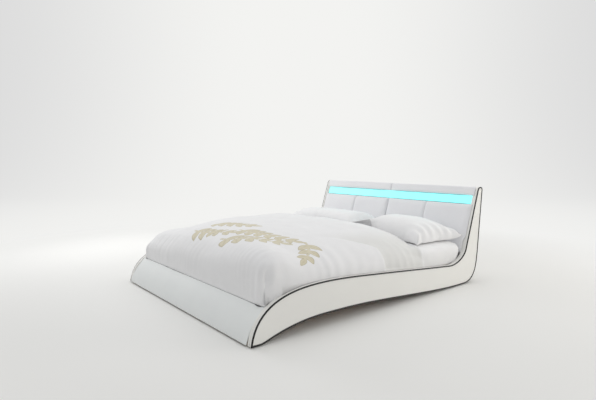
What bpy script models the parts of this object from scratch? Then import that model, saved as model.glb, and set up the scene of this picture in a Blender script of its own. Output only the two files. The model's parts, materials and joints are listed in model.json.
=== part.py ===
"""Leather double bed: S-shaped side rails with black piping, a lit headboard, slats, mattress and bedding.

Metres, +Z up. The foot end faces -Y, and the origin is on the floor under the middle of the bed.
"""

import math

import bmesh
import bpy
from mathutils import Matrix, Vector
from mathutils.geometry import interpolate_bezier

# Clearance between pieces that touch, and the length by which a cutter passes what it cuts.
GAP = 0.0003
OVERRUN = 0.002

# Mattress, and the room round it inside the frame.
MATTRESS_WIDTH = 1.83
MATTRESS_LENGTH = 2.00
MATTRESS_HEIGHT = 0.22
MATTRESS_EDGE = 0.068
SIDE_ROOM = 0.037
FOOT_SETBACK = 0.265
HEAD_ROOM = 0.0327

# Side rails: a board wrapped in foam and leather, with a corded seam round its outer face.
RAIL_THICKNESS = 0.045
COVER_THICKNESS = 0.010
PIPING_RADIUS = 0.004
PIPING_CHAMFER = 0.0085
PIPING_SINK = (PIPING_CHAMFER / math.sqrt(2) - PIPING_RADIUS - GAP) / math.sqrt(2)
PIPING_PROUD = PIPING_RADIUS - PIPING_SINK
NOSE_LENGTH = 0.59
RAIL_CREST = 0.313
RAIL_DIP = 0.2065
ARCH_HEIGHT = 0.092
GLIDE_HEIGHT = 0.005
TIP_CHAMFER = 0.009

# Headboard: its front leans back along a straight edge of the rails. Cushions, board and back panel
# lie behind that edge, with a little slack between board and panel at the top.
BED_HEIGHT = 0.870
HEAD_FOOT = 0.319
HEAD_LEAN = math.radians(18.3)
HEAD_ROUND = 0.0383
CORE_DEPTH = 0.045
CORE_BOARD = 0.018
REAR_RECESS = 0.002
REAR_PANEL = 0.010
HEAD_SLACK = 0.0016
HEAD_STRAIGHT = (BED_HEIGHT - HEAD_ROUND - HEAD_FOOT) / math.cos(HEAD_LEAN)
HEAD_TOP_DEPTH = (CORE_DEPTH + CORE_BOARD) / math.cos(HEAD_LEAN) + REAR_PANEL + REAR_RECESS + HEAD_SLACK
HEAD_DEPTH = HEAD_STRAIGHT * math.sin(HEAD_LEAN) + HEAD_TOP_DEPTH

# Overall sizes that follow.
RAIL_INNER = MATTRESS_WIDTH / 2 + SIDE_ROOM
RAIL_OUTER = RAIL_INNER + RAIL_THICKNESS
BED_WIDTH = 2 * (RAIL_OUTER + PIPING_PROUD)
BED_LENGTH = FOOT_SETBACK + MATTRESS_LENGTH + HEAD_ROOM + HEAD_DEPTH + PIPING_PROUD
FRONT = -BED_LENGTH / 2 + PIPING_PROUD
BACK = BED_LENGTH / 2 - PIPING_PROUD
MATTRESS_FOOT = -BED_LENGTH / 2 + FOOT_SETBACK
MATTRESS_HEAD = MATTRESS_FOOT + MATTRESS_LENGTH
INSIDE = RAIL_INNER - GAP

# Slat base.
SLAT_COUNT = 13
SLAT_WIDTH = 0.090
SLAT_THICKNESS = 0.018
SLAT_TOP = 0.170
SLAT_END_ROOM = 0.010
LEDGER_WIDTH = 0.024
LEDGER_HEIGHT = 0.032
BEAM_WIDTH = 0.050
BEAM_HEIGHT = 0.030
BEAM_WALL = 0.002
HANGER_PLATE = 0.003
HANGER_LENGTH = 0.040
LEG_RADIUS = 0.019
LEG_FLANGE_RADIUS = 0.034
LEG_FLANGE = 0.003
LEG_FLOOR_ROOM = 0.028
LEG_SHARES = (1 / 3, 2 / 3)
FOOT_PAD_RADIUS = 0.022
FOOT_PAD = 0.008
FOOT_TRAVEL = 0.012
STEM_RADIUS = 0.005
STEM_LENGTH = 0.036
STEM_ROOM = 0.0004
BRACKET_LEG = 0.044
BRACKET_HEIGHT = 0.050
BRACKET_PLATE = 0.003
BRACKET_LIFT = 0.003
GLIDE_LENGTH = 0.036
GLIDE_WIDTH = 0.026
GLIDE_ROOM = 0.006
LEDGER_TOP = SLAT_TOP - SLAT_THICKNESS - GAP

# Foot panel and the cross-rail behind it.
PANEL_RECESS = 0.003
PANEL_FLOOR_ROOM = 0.012
PANEL_TOP = 0.212
PANEL_COVER = 0.012
PANEL_BOARD = 0.012
CROSS_RAIL = 0.020
CROSS_RAIL_LOW = 0.050
PANEL_REAR_ROOM = 0.047
CROSS_RAIL_BACK = MATTRESS_FOOT - PANEL_REAR_ROOM

# Headboard pieces, measured square to the leaning front and along it.
CORE_LOW = 0.045
TOP_RISE = 0.045
TOP_RETURN = 0.022
TOP_DEPTH = 0.071
UPPER_ROUND = 0.022
UPPER_HEIGHT = 0.0895
LIGHT_HEIGHT = 0.076
LIGHT_RECESS = 0.0165
DIFFUSER = 0.003
CHANNEL_WALL = 0.002
TAPE_WIDTH = 0.010
TAPE_THICKNESS = 0.002
TAPE_END_ROOM = 0.025
CUSHION_LOW = 0.020
CUSHION_CROWN = 0.012
CUSHION_DRAW = 0.014
CUSHION_SEAM = 0.003
CHANNEL_DEPTH = 0.012
CHANNEL_HALF_WIDTH = 0.03
BASE_RAIL = 0.022
BASE_RAIL_LOW = 0.030
BASE_RAIL_HEIGHT = 0.215
BASE_RAIL_ROOM = 0.025
REAR_LOW = 0.090
REAR_TOP_ROOM = 0.048
RIB = 0.018
RIB_FROM_CENTRE = 0.62
RIB_LOW = 0.010

# Light supply at the back.
DRIVER_LENGTH = 0.150
DRIVER_HEIGHT = 0.045
DRIVER_DEPTH = 0.028
DRIVER_FROM_CENTRE = 0.30
DRIVER_DROP = 0.3195
LEAD_RADIUS = 0.0025
LEAD_HOLE = 0.004
LEAD_BOW = 0.020
INLET_WIDTH = 0.060
INLET_HEIGHT = 0.034
INLET_DEPTH = 0.026
INLET_BEZEL = 0.004
INLET_LIP = 0.002
INLET_FROM_CENTRE = 0.30
INLET_DROP = 0.3773
SOCKET_WIDTH = 0.018
SOCKET_HEIGHT = 0.010
SOCKET_DEPTH = 0.013
ROCKER_RADIUS = 0.009
ROCKER_WIDTH = 0.012
ROCKER_ROOM = 0.0005
ROCKER_RIDGE = 0.0015
ROCKER_TILT = math.radians(7)

# Bedding.
DUVET_ROOM = 0.004
DUVET_FOOT_ROOM = 0.002
DUVET_HEM_ROOM = 0.0025
DUVET_LINING = 0.002
DUVET_DROP = 0.095
DUVET_RISE = 0.180
FOLD_DEPTH = 0.008
FOLD_COUNT = 9
PILLOW_LENGTH = 0.900
PILLOW_DEPTH = 0.500
PILLOW_HEIGHT = 0.205
PILLOW_RIM = 0.055
PILLOW_HEAD_ROOM = 0.010
PILLOW_FOOT_ROOM = 0.013
PILLOW_PART = 0.040
PILLOW_SHIFT = 0.020


# Collections and materials.
def clear_scene():
    for thing in list(bpy.data.objects):
        bpy.data.objects.remove(thing, do_unlink=True)


def new_collection(name):
    made = bpy.data.collections.new(name)
    bpy.context.scene.collection.children.link(made)
    return made


def linear(channel):
    return channel / 12.92 if channel <= 0.04045 else ((channel + 0.055) / 1.055) ** 2.4


def finish(name, hex_colour, roughness, metallic=0.0):
    material = bpy.data.materials.new(name)
    material.use_nodes = True
    rgb = [linear(int(hex_colour[i : i + 2], 16) / 255) for i in (0, 2, 4)]
    shader = material.node_tree.nodes["Principled BSDF"]
    shader.inputs["Base Color"].default_value = (*rgb, 1)
    shader.inputs["Roughness"].default_value = roughness
    shader.inputs["Metallic"].default_value = metallic
    material.diffuse_color = (*rgb, 1)
    return material


clear_scene()
parts = new_collection("leather_double_bed")
cutters = new_collection("cutters")

leather = finish("white_leather", "E4E4E1", 0.45)
black_cord = finish("black_piping", "17171A", 0.5)
plywood = finish("plywood", "C9A87A", 0.7)
beech = finish("beech_slats", "D8BC90", 0.6)
steel = finish("grey_steel", "5A5D60", 0.45, 1.0)
aluminium = finish("aluminium", "C4C7CA", 0.35, 1.0)
opal = finish("opal_light", "9CF8FF", 0.4)
tape_white = finish("light_tape", "F2F2EC", 0.5)
black_plastic = finish("black_plastic", "1E1F21", 0.5)
white_plastic = finish("white_plastic", "E8E8E6", 0.45)
cable = finish("cable_sheath", "26272A", 0.55)
sheet_cotton = finish("sheet_cotton", "EFEFEC", 0.85)
duvet_cotton = finish("duvet_cotton", "F1F1EF", 0.85)


# Building blocks.
def keep(name, mesh, material, parent=None):
    """Makes the mesh an object of the bed, smooth but for its real edges."""
    thing = bpy.data.objects.new(name, mesh)
    mesh.materials.append(material)
    mesh.shade_smooth()
    mesh.set_sharp_from_angle(angle=math.radians(35))
    parts.objects.link(thing)
    thing.parent = parent
    return thing


def box(name, low, high, material, parent=None):
    bm = bmesh.new()
    bmesh.ops.create_cube(bm, size=1)
    size = Vector(high) - Vector(low)
    bmesh.ops.scale(bm, vec=size, verts=bm.verts)
    bmesh.ops.translate(bm, vec=(Vector(low) + Vector(high)) / 2, verts=bm.verts)
    mesh = bpy.data.meshes.new(name)
    bm.to_mesh(mesh)
    bm.free()
    return keep(name, mesh, material, parent)


def extrusion(name, loops, low, high, material, parent=None):
    """Fills closed (y, z) loops, the second and later as holes, and runs them along X from low to high."""
    curve = bpy.data.curves.new(name, "CURVE")
    curve.dimensions = "2D"
    curve.fill_mode = "BOTH"
    curve.extrude = (high - low) / 2
    for loop in loops:
        spline = curve.splines.new("POLY")
        spline.points.add(len(loop) - 1)
        for point, (y, z) in zip(spline.points, loop):
            point.co = (y, z, 0, 1)
        spline.use_cyclic_u = True
    shape = bpy.data.objects.new(name, curve)
    parts.objects.link(shape)
    mesh = mesh_of(shape)
    stand = Matrix.Rotation(math.pi / 2, 4, "Z") @ Matrix.Rotation(math.pi / 2, 4, "X")
    mesh.transform(Matrix.Translation(((low + high) / 2, 0, 0)) @ stand)
    return keep(name, mesh, material, parent)


def mesh_of(shape):
    """The evaluated mesh of a curve with its caps welded on. The curve is removed."""
    graph = bpy.context.evaluated_depsgraph_get()
    mesh = bpy.data.meshes.new_from_object(shape.evaluated_get(graph))
    curve = shape.data
    bpy.data.objects.remove(shape)
    bpy.data.curves.remove(curve)
    bm = bmesh.new()
    bm.from_mesh(mesh)
    bmesh.ops.remove_doubles(bm, verts=bm.verts, dist=GAP / 10)
    bm.to_mesh(mesh)
    bm.free()
    mesh.materials.clear()
    return mesh


def tube(name, points, radius, material, closed=False, parent=None):
    curve = bpy.data.curves.new(name, "CURVE")
    curve.dimensions = "3D"
    curve.bevel_depth = radius
    curve.bevel_resolution = 2
    curve.use_fill_caps = not closed
    spline = curve.splines.new("POLY")
    spline.points.add(len(points) - 1)
    for point, place in zip(spline.points, points):
        point.co = (*place, 1)
    spline.use_cyclic_u = closed
    shape = bpy.data.objects.new(name, curve)
    parts.objects.link(shape)
    return keep(name, mesh_of(shape), material, parent)


def turned(name, profile, place, material, steps=24):
    """Turns a closed (radius, height) profile, which runs down its outer side, about Z."""
    mesh = bpy.data.meshes.new(name)
    bm = bmesh.new()
    verts = [bm.verts.new((radius, 0, height)) for radius, height in profile]
    for first, second in zip(verts, verts[1:]):
        bm.edges.new((first, second))
    bm.to_mesh(mesh)
    bm.free()
    thing = keep(name, mesh, material)
    thing.location = place
    screw = thing.modifiers.new("turn", "SCREW")
    screw.steps = steps
    screw.render_steps = steps
    screw.use_merge_vertices = True
    screw.merge_threshold = 0.0001
    screw.use_smooth_shade = True
    return thing


def cut(thing, cutter):
    """Takes the cutter's shape out of the piece."""
    cutter.hide_render = True
    cutter.display_type = "WIRE"
    for home in list(cutter.users_collection):
        home.objects.unlink(cutter)
    cutters.objects.link(cutter)
    boolean = thing.modifiers.new("cut", "BOOLEAN")
    boolean.operation = "DIFFERENCE"
    boolean.solver = "EXACT"
    boolean.object = cutter


def rounded(thing, width, segments=2, limit=math.radians(35)):
    bevel = thing.modifiers.new("round", "BEVEL")
    bevel.width = width
    bevel.segments = segments
    bevel.limit_method = "ANGLE"
    bevel.angle_limit = limit
    return thing


def padded(name, columns, rows, form, material, parent=None):
    """A closed soft solid: form gives the place of each (u, v) from -1 to 1 on its face and on its back."""
    bm = bmesh.new()
    bmesh.ops.create_grid(bm, x_segments=columns, y_segments=rows, size=1)
    face = list(bm.faces)
    made = bmesh.ops.extrude_face_region(bm, geom=face, use_keep_orig=True)
    front = {v for v in made["geom"] if isinstance(v, bmesh.types.BMVert)}
    for vert in bm.verts:
        u, v = vert.co.x, vert.co.y
        vert.co = form(u, v, vert in front)
    bmesh.ops.recalc_face_normals(bm, faces=bm.faces)
    mesh = bpy.data.meshes.new(name)
    bm.to_mesh(mesh)
    bm.free()
    return keep(name, mesh, material, parent)


# Outline of the side rails, as Bezier knots in the YZ plane.
def nose(share):
    return FRONT + share * NOSE_LENGTH


def head(share):
    return BACK - share * HEAD_DEPTH


def lean_point(depth, along):
    """A place beside the leaning headboard edge: depth square to it, along it from its foot."""
    y = head(1) + along * math.sin(HEAD_LEAN) + depth * math.cos(HEAD_LEAN)
    z = HEAD_FOOT + along * math.cos(HEAD_LEAN) - depth * math.sin(HEAD_LEAN)
    return y, z


# Shares that shape the outline: the directions at its knots, then its places and handle lengths.
TIP_WAY_SHARES = (0.15, 1)
RUN_WAY_SHARES = (1, -0.079)
OVER_WAY_SHARES = (0.0225, -1)
REAR_WAY_SHARES = (-0.09, -1)
UNDER_WAY_SHARES = (-1, 0.066)
TOE_WAY_SHARES = (-1, -0.28)
NOSE_PULL_SHARE = 0.446
RUN_MIDDLE_SHARES = (0.32, 0.235)
RUN_PULL_SHARES = (0.11, 0.22)
BEND_SHARE = 2.0
BEND_PULL_SHARES = (0.48, 0.27)
OVER_SHARES = (0.125, 0.15)
OVER_PULL_SHARES = (0.09, 0.10, 0.08)
BACK_LOW_SHARES = (0.19, 0.94)
BACK_PULL_SHARES = (1 / 3, 0.63, 0.72)
HEEL_SHARES = (1.08, 1.52)
ARCH_MIDDLE_SHARES = (0.32, 0.835)
ARCH_PULL_SHARES = (0.12, 0.25, 1 / 3)
TOE_SHARES = (0.095, 0.5, 0.1)


def knot(place, way, pull_in, pull_out, steps=0):
    """A place of an outline, its direction, its handles' lengths and its steps up to the next knot."""
    return Vector((*place, 0)), Vector((*way, 0)).normalized(), pull_in, pull_out, steps


def smooth_line(knots):
    """Points along the Bezier line through the knots, without the last one."""
    points = []
    for here, after in zip(knots, knots[1:]):
        start, leaving, _, pull_out, steps = here
        end, coming, pull_in, _, _ = after
        points += interpolate_bezier(
            start, start + leaving * pull_out, end - coming * pull_in, end, steps + 1
        )[:-1]
    return [(point.x, point.y) for point in points]


def rail_outline():
    """The rail's edge from the foot tip over the top to the back and along the underside, in four lists."""
    level = (1, 0)
    level_back = (-1, 0)
    leaning = (math.sin(HEAD_LEAN), math.cos(HEAD_LEAN))
    bend_y = head(BEND_SHARE)
    run = bend_y - nose(1)
    nose_pull = NOSE_PULL_SHARE * NOSE_LENGTH
    tip_start = nose(0) - TIP_WAY_SHARES[0] * TIP_CHAMFER
    middle = (
        nose(1) + RUN_MIDDLE_SHARES[0] * run,
        RAIL_CREST - RUN_MIDDLE_SHARES[1] * (RAIL_CREST - RAIL_DIP),
    )
    near, far = (share * run for share in RUN_PULL_SHARES)
    bend_in, bend_out = (share * HEAD_DEPTH for share in BEND_PULL_SHARES)
    top = smooth_line(
        [
            knot((tip_start, GLIDE_HEIGHT), TIP_WAY_SHARES, 0, nose_pull, 10),
            knot((nose(1), RAIL_CREST), level, nose_pull, near, 3),
            knot(middle, RUN_WAY_SHARES, near, far, 3),
            knot((bend_y, RAIL_DIP), RUN_WAY_SHARES, far, bend_in, 6),
            knot(lean_point(0, 0), leaning, bend_out, 0),
        ]
    )
    top[0] = (nose(0), GLIDE_HEIGHT + TIP_CHAMFER)

    over = (BACK - OVER_SHARES[0] * HEAD_DEPTH, BED_HEIGHT - PIPING_PROUD)
    shoulder = (BACK, BED_HEIGHT - OVER_SHARES[1] * HEAD_DEPTH)
    first, second, third = (share * HEAD_DEPTH for share in OVER_PULL_SHARES)
    head_end = [lean_point(0, 0)] + smooth_line(
        [
            knot(lean_point(0, HEAD_STRAIGHT), leaning, 0, first, 4),
            knot(over, level, second, third, 4),
            knot(shoulder, OVER_WAY_SHARES, third, 0),
        ]
    )

    back_low = (head(BACK_LOW_SHARES[0]), BACK_LOW_SHARES[1] * HEAD_FOOT)
    drop_pull = BACK_PULL_SHARES[0] * (shoulder[1] - back_low[1])
    heel, heel_front = (head(share) for share in HEEL_SHARES)
    rear = smooth_line(
        [
            knot(shoulder, REAR_WAY_SHARES, 0, drop_pull, 4),
            knot(back_low, REAR_WAY_SHARES, drop_pull, BACK_PULL_SHARES[1] * HEAD_DEPTH, 8),
            knot((heel, GLIDE_HEIGHT), level_back, BACK_PULL_SHARES[2] * HEAD_DEPTH, 0),
        ]
    )

    arch_middle = (
        nose(1) + ARCH_MIDDLE_SHARES[0] * (heel_front - nose(1)),
        ARCH_MIDDLE_SHARES[1] * ARCH_HEIGHT,
    )
    behind = heel_front - arch_middle[0]
    arch_near = ARCH_PULL_SHARES[0] * run
    toe_share, arch_reach_share, toe_reach_share = TOE_SHARES
    toe = (nose(toe_share), GLIDE_HEIGHT)
    under = [(heel, GLIDE_HEIGHT)] + smooth_line(
        [
            knot((heel_front, GLIDE_HEIGHT), level_back, 0, ARCH_PULL_SHARES[1] * behind, 5),
            knot(arch_middle, UNDER_WAY_SHARES, ARCH_PULL_SHARES[2] * behind, arch_near, 3),
            knot((nose(1), ARCH_HEIGHT), level_back, arch_near, arch_reach_share * NOSE_LENGTH, 6),
            knot(toe, TOE_WAY_SHARES, toe_reach_share * NOSE_LENGTH, 0),
        ]
    )
    under += [toe, (nose(0) + TIP_CHAMFER, GLIDE_HEIGHT)]
    return top, head_end, rear, under


def offset(points, distance, closed=False):
    """The points moved to the right of their path, mitred."""
    moved = []
    count = len(points)
    for i, (y, z) in enumerate(points):
        before = points[i - 1] if closed or i else points[i]
        after = points[(i + 1) % count] if closed or i < count - 1 else points[i]
        came = Vector((y - before[0], z - before[1]))
        goes = Vector((after[0] - y, after[1] - z))
        came = came.normalized() if came.length else goes.normalized()
        goes = goes.normalized() if goes.length else came
        middle = (came + goes).normalized()
        reach = distance / max(middle.dot(came), 0.3)
        moved.append((y + middle.y * reach, z - middle.x * reach))
    return moved


def band(path, near, far):
    """The closed outline between two offsets of an open path."""
    return offset(path, near) + offset(path, far)[::-1]


rail_top, rail_head, rail_rear, rail_under = rail_outline()
outline = rail_top + rail_head + rail_rear + rail_under


# Side rails: the cover is a wrap that is open on the inner face, and the board fills it.
def rail_cover(name, side):
    bm = bmesh.new()
    verts = [bm.verts.new((RAIL_INNER, y, z)) for y, z in outline]
    inner = bm.faces.new(verts)
    made = bmesh.ops.extrude_face_region(bm, geom=[inner], use_keep_orig=True)
    outer = next(f for f in made["geom"] if isinstance(f, bmesh.types.BMFace))
    reach = RAIL_THICKNESS - PIPING_CHAMFER
    bmesh.ops.translate(bm, vec=(reach, 0, 0), verts=outer.verts)
    bmesh.ops.recalc_face_normals(bm, faces=bm.faces)
    bmesh.ops.inset_individual(
        bm, faces=[outer], thickness=PIPING_CHAMFER, depth=PIPING_CHAMFER, use_even_offset=True
    )
    bmesh.ops.inset_individual(bm, faces=[inner], thickness=COVER_THICKNESS, use_even_offset=True)
    pocket = bmesh.ops.extrude_discrete_faces(bm, faces=[inner])["faces"][0]
    bmesh.ops.translate(
        bm, vec=(RAIL_THICKNESS - COVER_THICKNESS, 0, 0), verts=pocket.verts
    )
    if side < 0:
        bmesh.ops.scale(bm, vec=(-1, 1, 1), verts=bm.verts)
        bmesh.ops.reverse_faces(bm, faces=bm.faces)
    mesh = bpy.data.meshes.new(name)
    bm.to_mesh(mesh)
    bm.free()
    return keep(name, mesh, leather)


for side, word in ((-1, "left"), (1, "right")):
    rail_cover(f"side_rail_cover_{word}", side)
    board = offset(outline, COVER_THICKNESS + GAP, closed=True)
    ends = sorted((side * RAIL_INNER, side * (RAIL_OUTER - COVER_THICKNESS - GAP)))
    extrusion(f"side_rail_core_{word}", [board], *ends, plywood)
    seam = offset(outline, PIPING_SINK, closed=True)
    seam_x = side * (RAIL_OUTER - PIPING_SINK)
    tube(f"piping_{word}", [(seam_x, y, z) for y, z in seam], PIPING_RADIUS, black_cord, closed=True)


# Glides: plastic pads under the toes and heels of the rails.
toe_middle = nose(0) + TIP_CHAMFER + GLIDE_ROOM + GLIDE_LENGTH / 2
heel_middle = (head(HEEL_SHARES[0]) + head(HEEL_SHARES[1])) / 2
for end, middle in (("front", toe_middle), ("rear", heel_middle)):
    for side, word in ((-1, "left"), (1, "right")):
        centre = side * (RAIL_INNER + RAIL_THICKNESS / 2)
        low = (centre - GLIDE_WIDTH / 2, middle - GLIDE_LENGTH / 2, 0)
        high = (centre + GLIDE_WIDTH / 2, middle + GLIDE_LENGTH / 2, GLIDE_HEIGHT - GAP)
        box(f"glide_{end}_{word}", low, high, black_plastic)


# Foot panel: a bent board with its leather, ending on a cross-rail.
panel_edge = [(y, z) for y, z in offset(rail_top, PANEL_RECESS) if z > PANEL_FLOOR_ROOM]
panel_path = [point for point in panel_edge if point[1] < PANEL_TOP - PANEL_COVER]
first, second = panel_path[0], panel_path[1]
run_down = (first[1] - PANEL_FLOOR_ROOM) / (second[1] - first[1])
panel_path.insert(0, (first[0] - run_down * (second[0] - first[0]), PANEL_FLOOR_ROOM))
last, before = panel_path[-1], panel_path[-2]
rise = (PANEL_TOP - last[1]) / (last[1] - before[1])
panel_path.append((last[0] + rise * (last[0] - before[0]) + PANEL_RECESS, PANEL_TOP))
panel_path.append((CROSS_RAIL_BACK, PANEL_TOP))
extrusion("foot_panel_cover", [band(panel_path, 0, PANEL_COVER)], -INSIDE, INSIDE, leather)
board_near = PANEL_COVER + GAP
board_far = board_near + PANEL_BOARD
extrusion("foot_panel_core", [band(panel_path, board_near, board_far)], -INSIDE, INSIDE, plywood)
cross_low = (-INSIDE, CROSS_RAIL_BACK - CROSS_RAIL, CROSS_RAIL_LOW)
cross_high = (INSIDE, CROSS_RAIL_BACK, PANEL_TOP - board_far - GAP)
box("foot_cross_rail", cross_low, cross_high, plywood)


# Headboard frame: its pieces lie in the leaning plane, X across, Y into it and Z up along it.
lean = bpy.data.objects.new("headboard_lean", None)
parts.objects.link(lean)
lean.location = (0, *lean_point(0, 0))
lean.rotation_euler = (-HEAD_LEAN, 0, 0)
bpy.context.view_layer.update()

TOP_END = HEAD_STRAIGHT + TOP_RISE
CORE_TOP = TOP_END - TOP_RETURN - GAP
LIGHT_START = TOP_END - UPPER_HEIGHT - LIGHT_HEIGHT
core = box(
    "headboard_core",
    (-INSIDE, CORE_DEPTH, -CORE_LOW),
    (INSIDE, CORE_DEPTH + CORE_BOARD, CORE_TOP),
    plywood,
    lean,
)

# Back panel along the rails' rear edge.
rear_path = [p for p in rail_rear if REAR_LOW < p[1] < BED_HEIGHT - REAR_TOP_ROOM]
top_share = (BED_HEIGHT - REAR_TOP_ROOM - rear_path[0][1]) / (rail_rear[0][1] - rear_path[0][1])
rear_path.insert(
    0,
    (
        rear_path[0][0] + top_share * (rail_rear[0][0] - rear_path[0][0]),
        BED_HEIGHT - REAR_TOP_ROOM,
    ),
)
back_panel = extrusion(
    "headboard_back_panel",
    [band(rear_path, REAR_RECESS, REAR_RECESS + REAR_PANEL)],
    -INSIDE,
    INSIDE,
    leather,
)

# Base rail under the headboard, square to the floor.
base_front = MATTRESS_HEAD + BASE_RAIL_ROOM
box(
    "headboard_base_rail",
    (-INSIDE, base_front, BASE_RAIL_LOW),
    (INSIDE, base_front + BASE_RAIL, BASE_RAIL_LOW + BASE_RAIL_HEIGHT),
    plywood,
)


# Ribs fill the wedge between the leaning board and the back panel.
def back_inside(height):
    """The back panel's inner face at this height."""
    inside = offset(rear_path, REAR_RECESS + REAR_PANEL + GAP)
    for (y_high, z_high), (y_low, z_low) in zip(inside, inside[1:]):
        if z_low <= height <= z_high:
            return y_low + (y_high - y_low) * (height - z_low) / (z_high - z_low)
    return inside[-1][0] if height < inside[-1][1] else inside[0][0]


rib_front = CORE_DEPTH + CORE_BOARD + GAP
rib_foot = lean_point(rib_front, RIB_LOW)
rib_head = lean_point(rib_front, LIGHT_START)
inside = offset(rear_path, REAR_RECESS + REAR_PANEL + GAP)
rib_rear = [p for p in inside if rib_foot[1] < p[1] < rib_head[1]]
rib_loop = [rib_foot, rib_head, (back_inside(rib_head[1]), rib_head[1])]
rib_loop += rib_rear + [(back_inside(rib_foot[1]), rib_foot[1])]
for side, word in ((-1, "left"), (1, "right")):
    middle = side * RIB_FROM_CENTRE
    extrusion(f"headboard_rib_{word}", [rib_loop], middle - RIB / 2, middle + RIB / 2, plywood)


# Lower cushions: crowned, drawn in at the edges, with one sewn channel down the middle.
def lower_cushion(name, side):
    width = RAIL_INNER - GAP - CUSHION_SEAM / 2
    height = LIGHT_START - CUSHION_LOW / 2 + CUSHION_LOW
    middle_x = side * (CUSHION_SEAM / 2 + width / 2)
    middle_z = (LIGHT_START - CUSHION_LOW / 2 - CUSHION_LOW) / 2
    back = CORE_DEPTH - GAP

    def form(u, v, front):
        across = math.sin(u * math.pi / 2)
        up = math.sin(v * math.pi / 2)
        x = middle_x + across * width / 2
        z = middle_z + up * height / 2
        if not front:
            return Vector((x, back, z))
        crown = (1 - abs(across) ** 4) ** 0.5 * (1 - abs(up) ** 4) ** 0.5
        groove = math.exp(-((across * width / 2 / CHANNEL_HALF_WIDTH) ** 2))
        y = CUSHION_DRAW - (CUSHION_DRAW + CUSHION_CROWN) * crown + CHANNEL_DEPTH * groove * crown
        return Vector((x, y, z))

    return padded(name, 16, 8, form, leather, lean)


# Upper cushions: an L over the board's top edge, round in front.
def upper_cushion(name, side):
    top = TOP_END
    low = LIGHT_START + LIGHT_HEIGHT + GAP
    corner = UPPER_ROUND
    back = CORE_DEPTH - GAP
    loop = [(0, low + corner / 3), (0, top - corner)]
    for share in (0.25, 0.5, 0.75):
        angle = share * math.pi / 2
        loop.append((corner - corner * math.cos(angle), top - corner + corner * math.sin(angle)))
    loop += [(corner, top), (TOP_DEPTH - corner / 3, top), (TOP_DEPTH, top - corner / 3)]
    loop += [(TOP_DEPTH, top - TOP_RETURN), (back, top - TOP_RETURN)]
    loop += [(back, low), (corner / 3, low)]
    inner = CUSHION_SEAM / 2
    ends = sorted((side * inner, side * (RAIL_INNER - GAP)))
    return extrusion(name, [loop[::-1]], *ends, leather, lean)


for side, word in ((-1, "left"), (1, "right")):
    lower_cushion(f"cushion_lower_{word}", side)
    upper_cushion(f"cushion_upper_{word}", side)


# Light band: an aluminium channel with the tape on its back, behind an opal plate.
channel_front = LIGHT_RECESS + DIFFUSER + GAP
channel_back = CORE_DEPTH - GAP
light_end = LIGHT_START + LIGHT_HEIGHT
channel_loop = [
    (channel_front, LIGHT_START),
    (channel_front, LIGHT_START + CHANNEL_WALL),
    (channel_back - CHANNEL_WALL, LIGHT_START + CHANNEL_WALL),
    (channel_back - CHANNEL_WALL, light_end - CHANNEL_WALL),
    (channel_front, light_end - CHANNEL_WALL),
    (channel_front, light_end),
    (channel_back, light_end),
    (channel_back, LIGHT_START),
]
channel = extrusion("led_channel", [channel_loop], -INSIDE, INSIDE, aluminium, lean)
box(
    "led_diffuser",
    (-INSIDE, LIGHT_RECESS, LIGHT_START),
    (INSIDE, LIGHT_RECESS + DIFFUSER, light_end),
    opal,
    lean,
)
tape_middle = LIGHT_START + LIGHT_HEIGHT / 2
tape_back = channel_back - CHANNEL_WALL - GAP
box(
    "led_tape",
    (-INSIDE + TAPE_END_ROOM, tape_back - TAPE_THICKNESS, tape_middle - TAPE_WIDTH / 2),
    (INSIDE - TAPE_END_ROOM, tape_back, tape_middle + TAPE_WIDTH / 2),
    tape_white,
    lean,
)

# Driver on the back of the headboard board, and the lead through the board to the tape.
driver_front = CORE_DEPTH + CORE_BOARD + GAP
driver_low_edge = LIGHT_START - DRIVER_DROP
driver_low = (DRIVER_FROM_CENTRE - DRIVER_LENGTH / 2, driver_front, driver_low_edge)
driver_high = (
    DRIVER_FROM_CENTRE + DRIVER_LENGTH / 2,
    driver_front + DRIVER_DEPTH,
    driver_low_edge + DRIVER_HEIGHT,
)
rounded(box("led_driver", driver_low, driver_high, white_plastic, lean), DRIVER_HEIGHT / 15)


def cutter_box(name, low, high, parent=None):
    return box(name, low, high, plywood, parent)


def lead_route(points, steps=5):
    """Points along smooth bends through the hand-placed places of a lead."""
    places = [Vector(p) for p in points]
    route = [places[0]]
    for i in range(1, len(places) - 1):
        before, here, after = places[i - 1 : i + 2]
        reach = LEAD_BOW * 0.6
        start = here + (before - here).normalized() * reach
        end = here + (after - here).normalized() * reach
        route += interpolate_bezier(start, here, here, end, steps)
    route.append(places[-1])
    return [tuple(p) for p in route]


lead_x = DRIVER_FROM_CENTRE
lead_depth = driver_front + DRIVER_DEPTH / 2
tube(
    "led_lead",
    lead_route(
        [
            (lead_x, lead_depth, driver_low_edge + DRIVER_HEIGHT + GAP),
            (lead_x, lead_depth, tape_middle),
            (lead_x, tape_back + GAP, tape_middle),
        ]
    ),
    LEAD_RADIUS,
    cable,
    parent=lean,
)
for thing, name in ((core, "board_hole"), (channel, "channel_hole")):
    drill = tube(
        name,
        [
            (lead_x, tape_back - OVERRUN, tape_middle),
            (lead_x, driver_front + OVERRUN, tape_middle),
        ],
        LEAD_HOLE,
        plywood,
        parent=lean,
    )
    cut(thing, drill)


# Inlet and rocker switch, set square into the back panel.
def back_face(height):
    """The back panel's outer face at this height, and its lean from the vertical."""
    outside = offset(rear_path, REAR_RECESS)
    for (y_high, z_high), (y_low, z_low) in zip(outside, outside[1:]):
        if z_low <= height <= z_high:
            share = (height - z_low) / (z_high - z_low)
            slope = math.atan2(y_high - y_low, z_high - z_low)
            return y_low + (y_high - y_low) * share, slope
    return outside[0][0], 0.0


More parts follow.
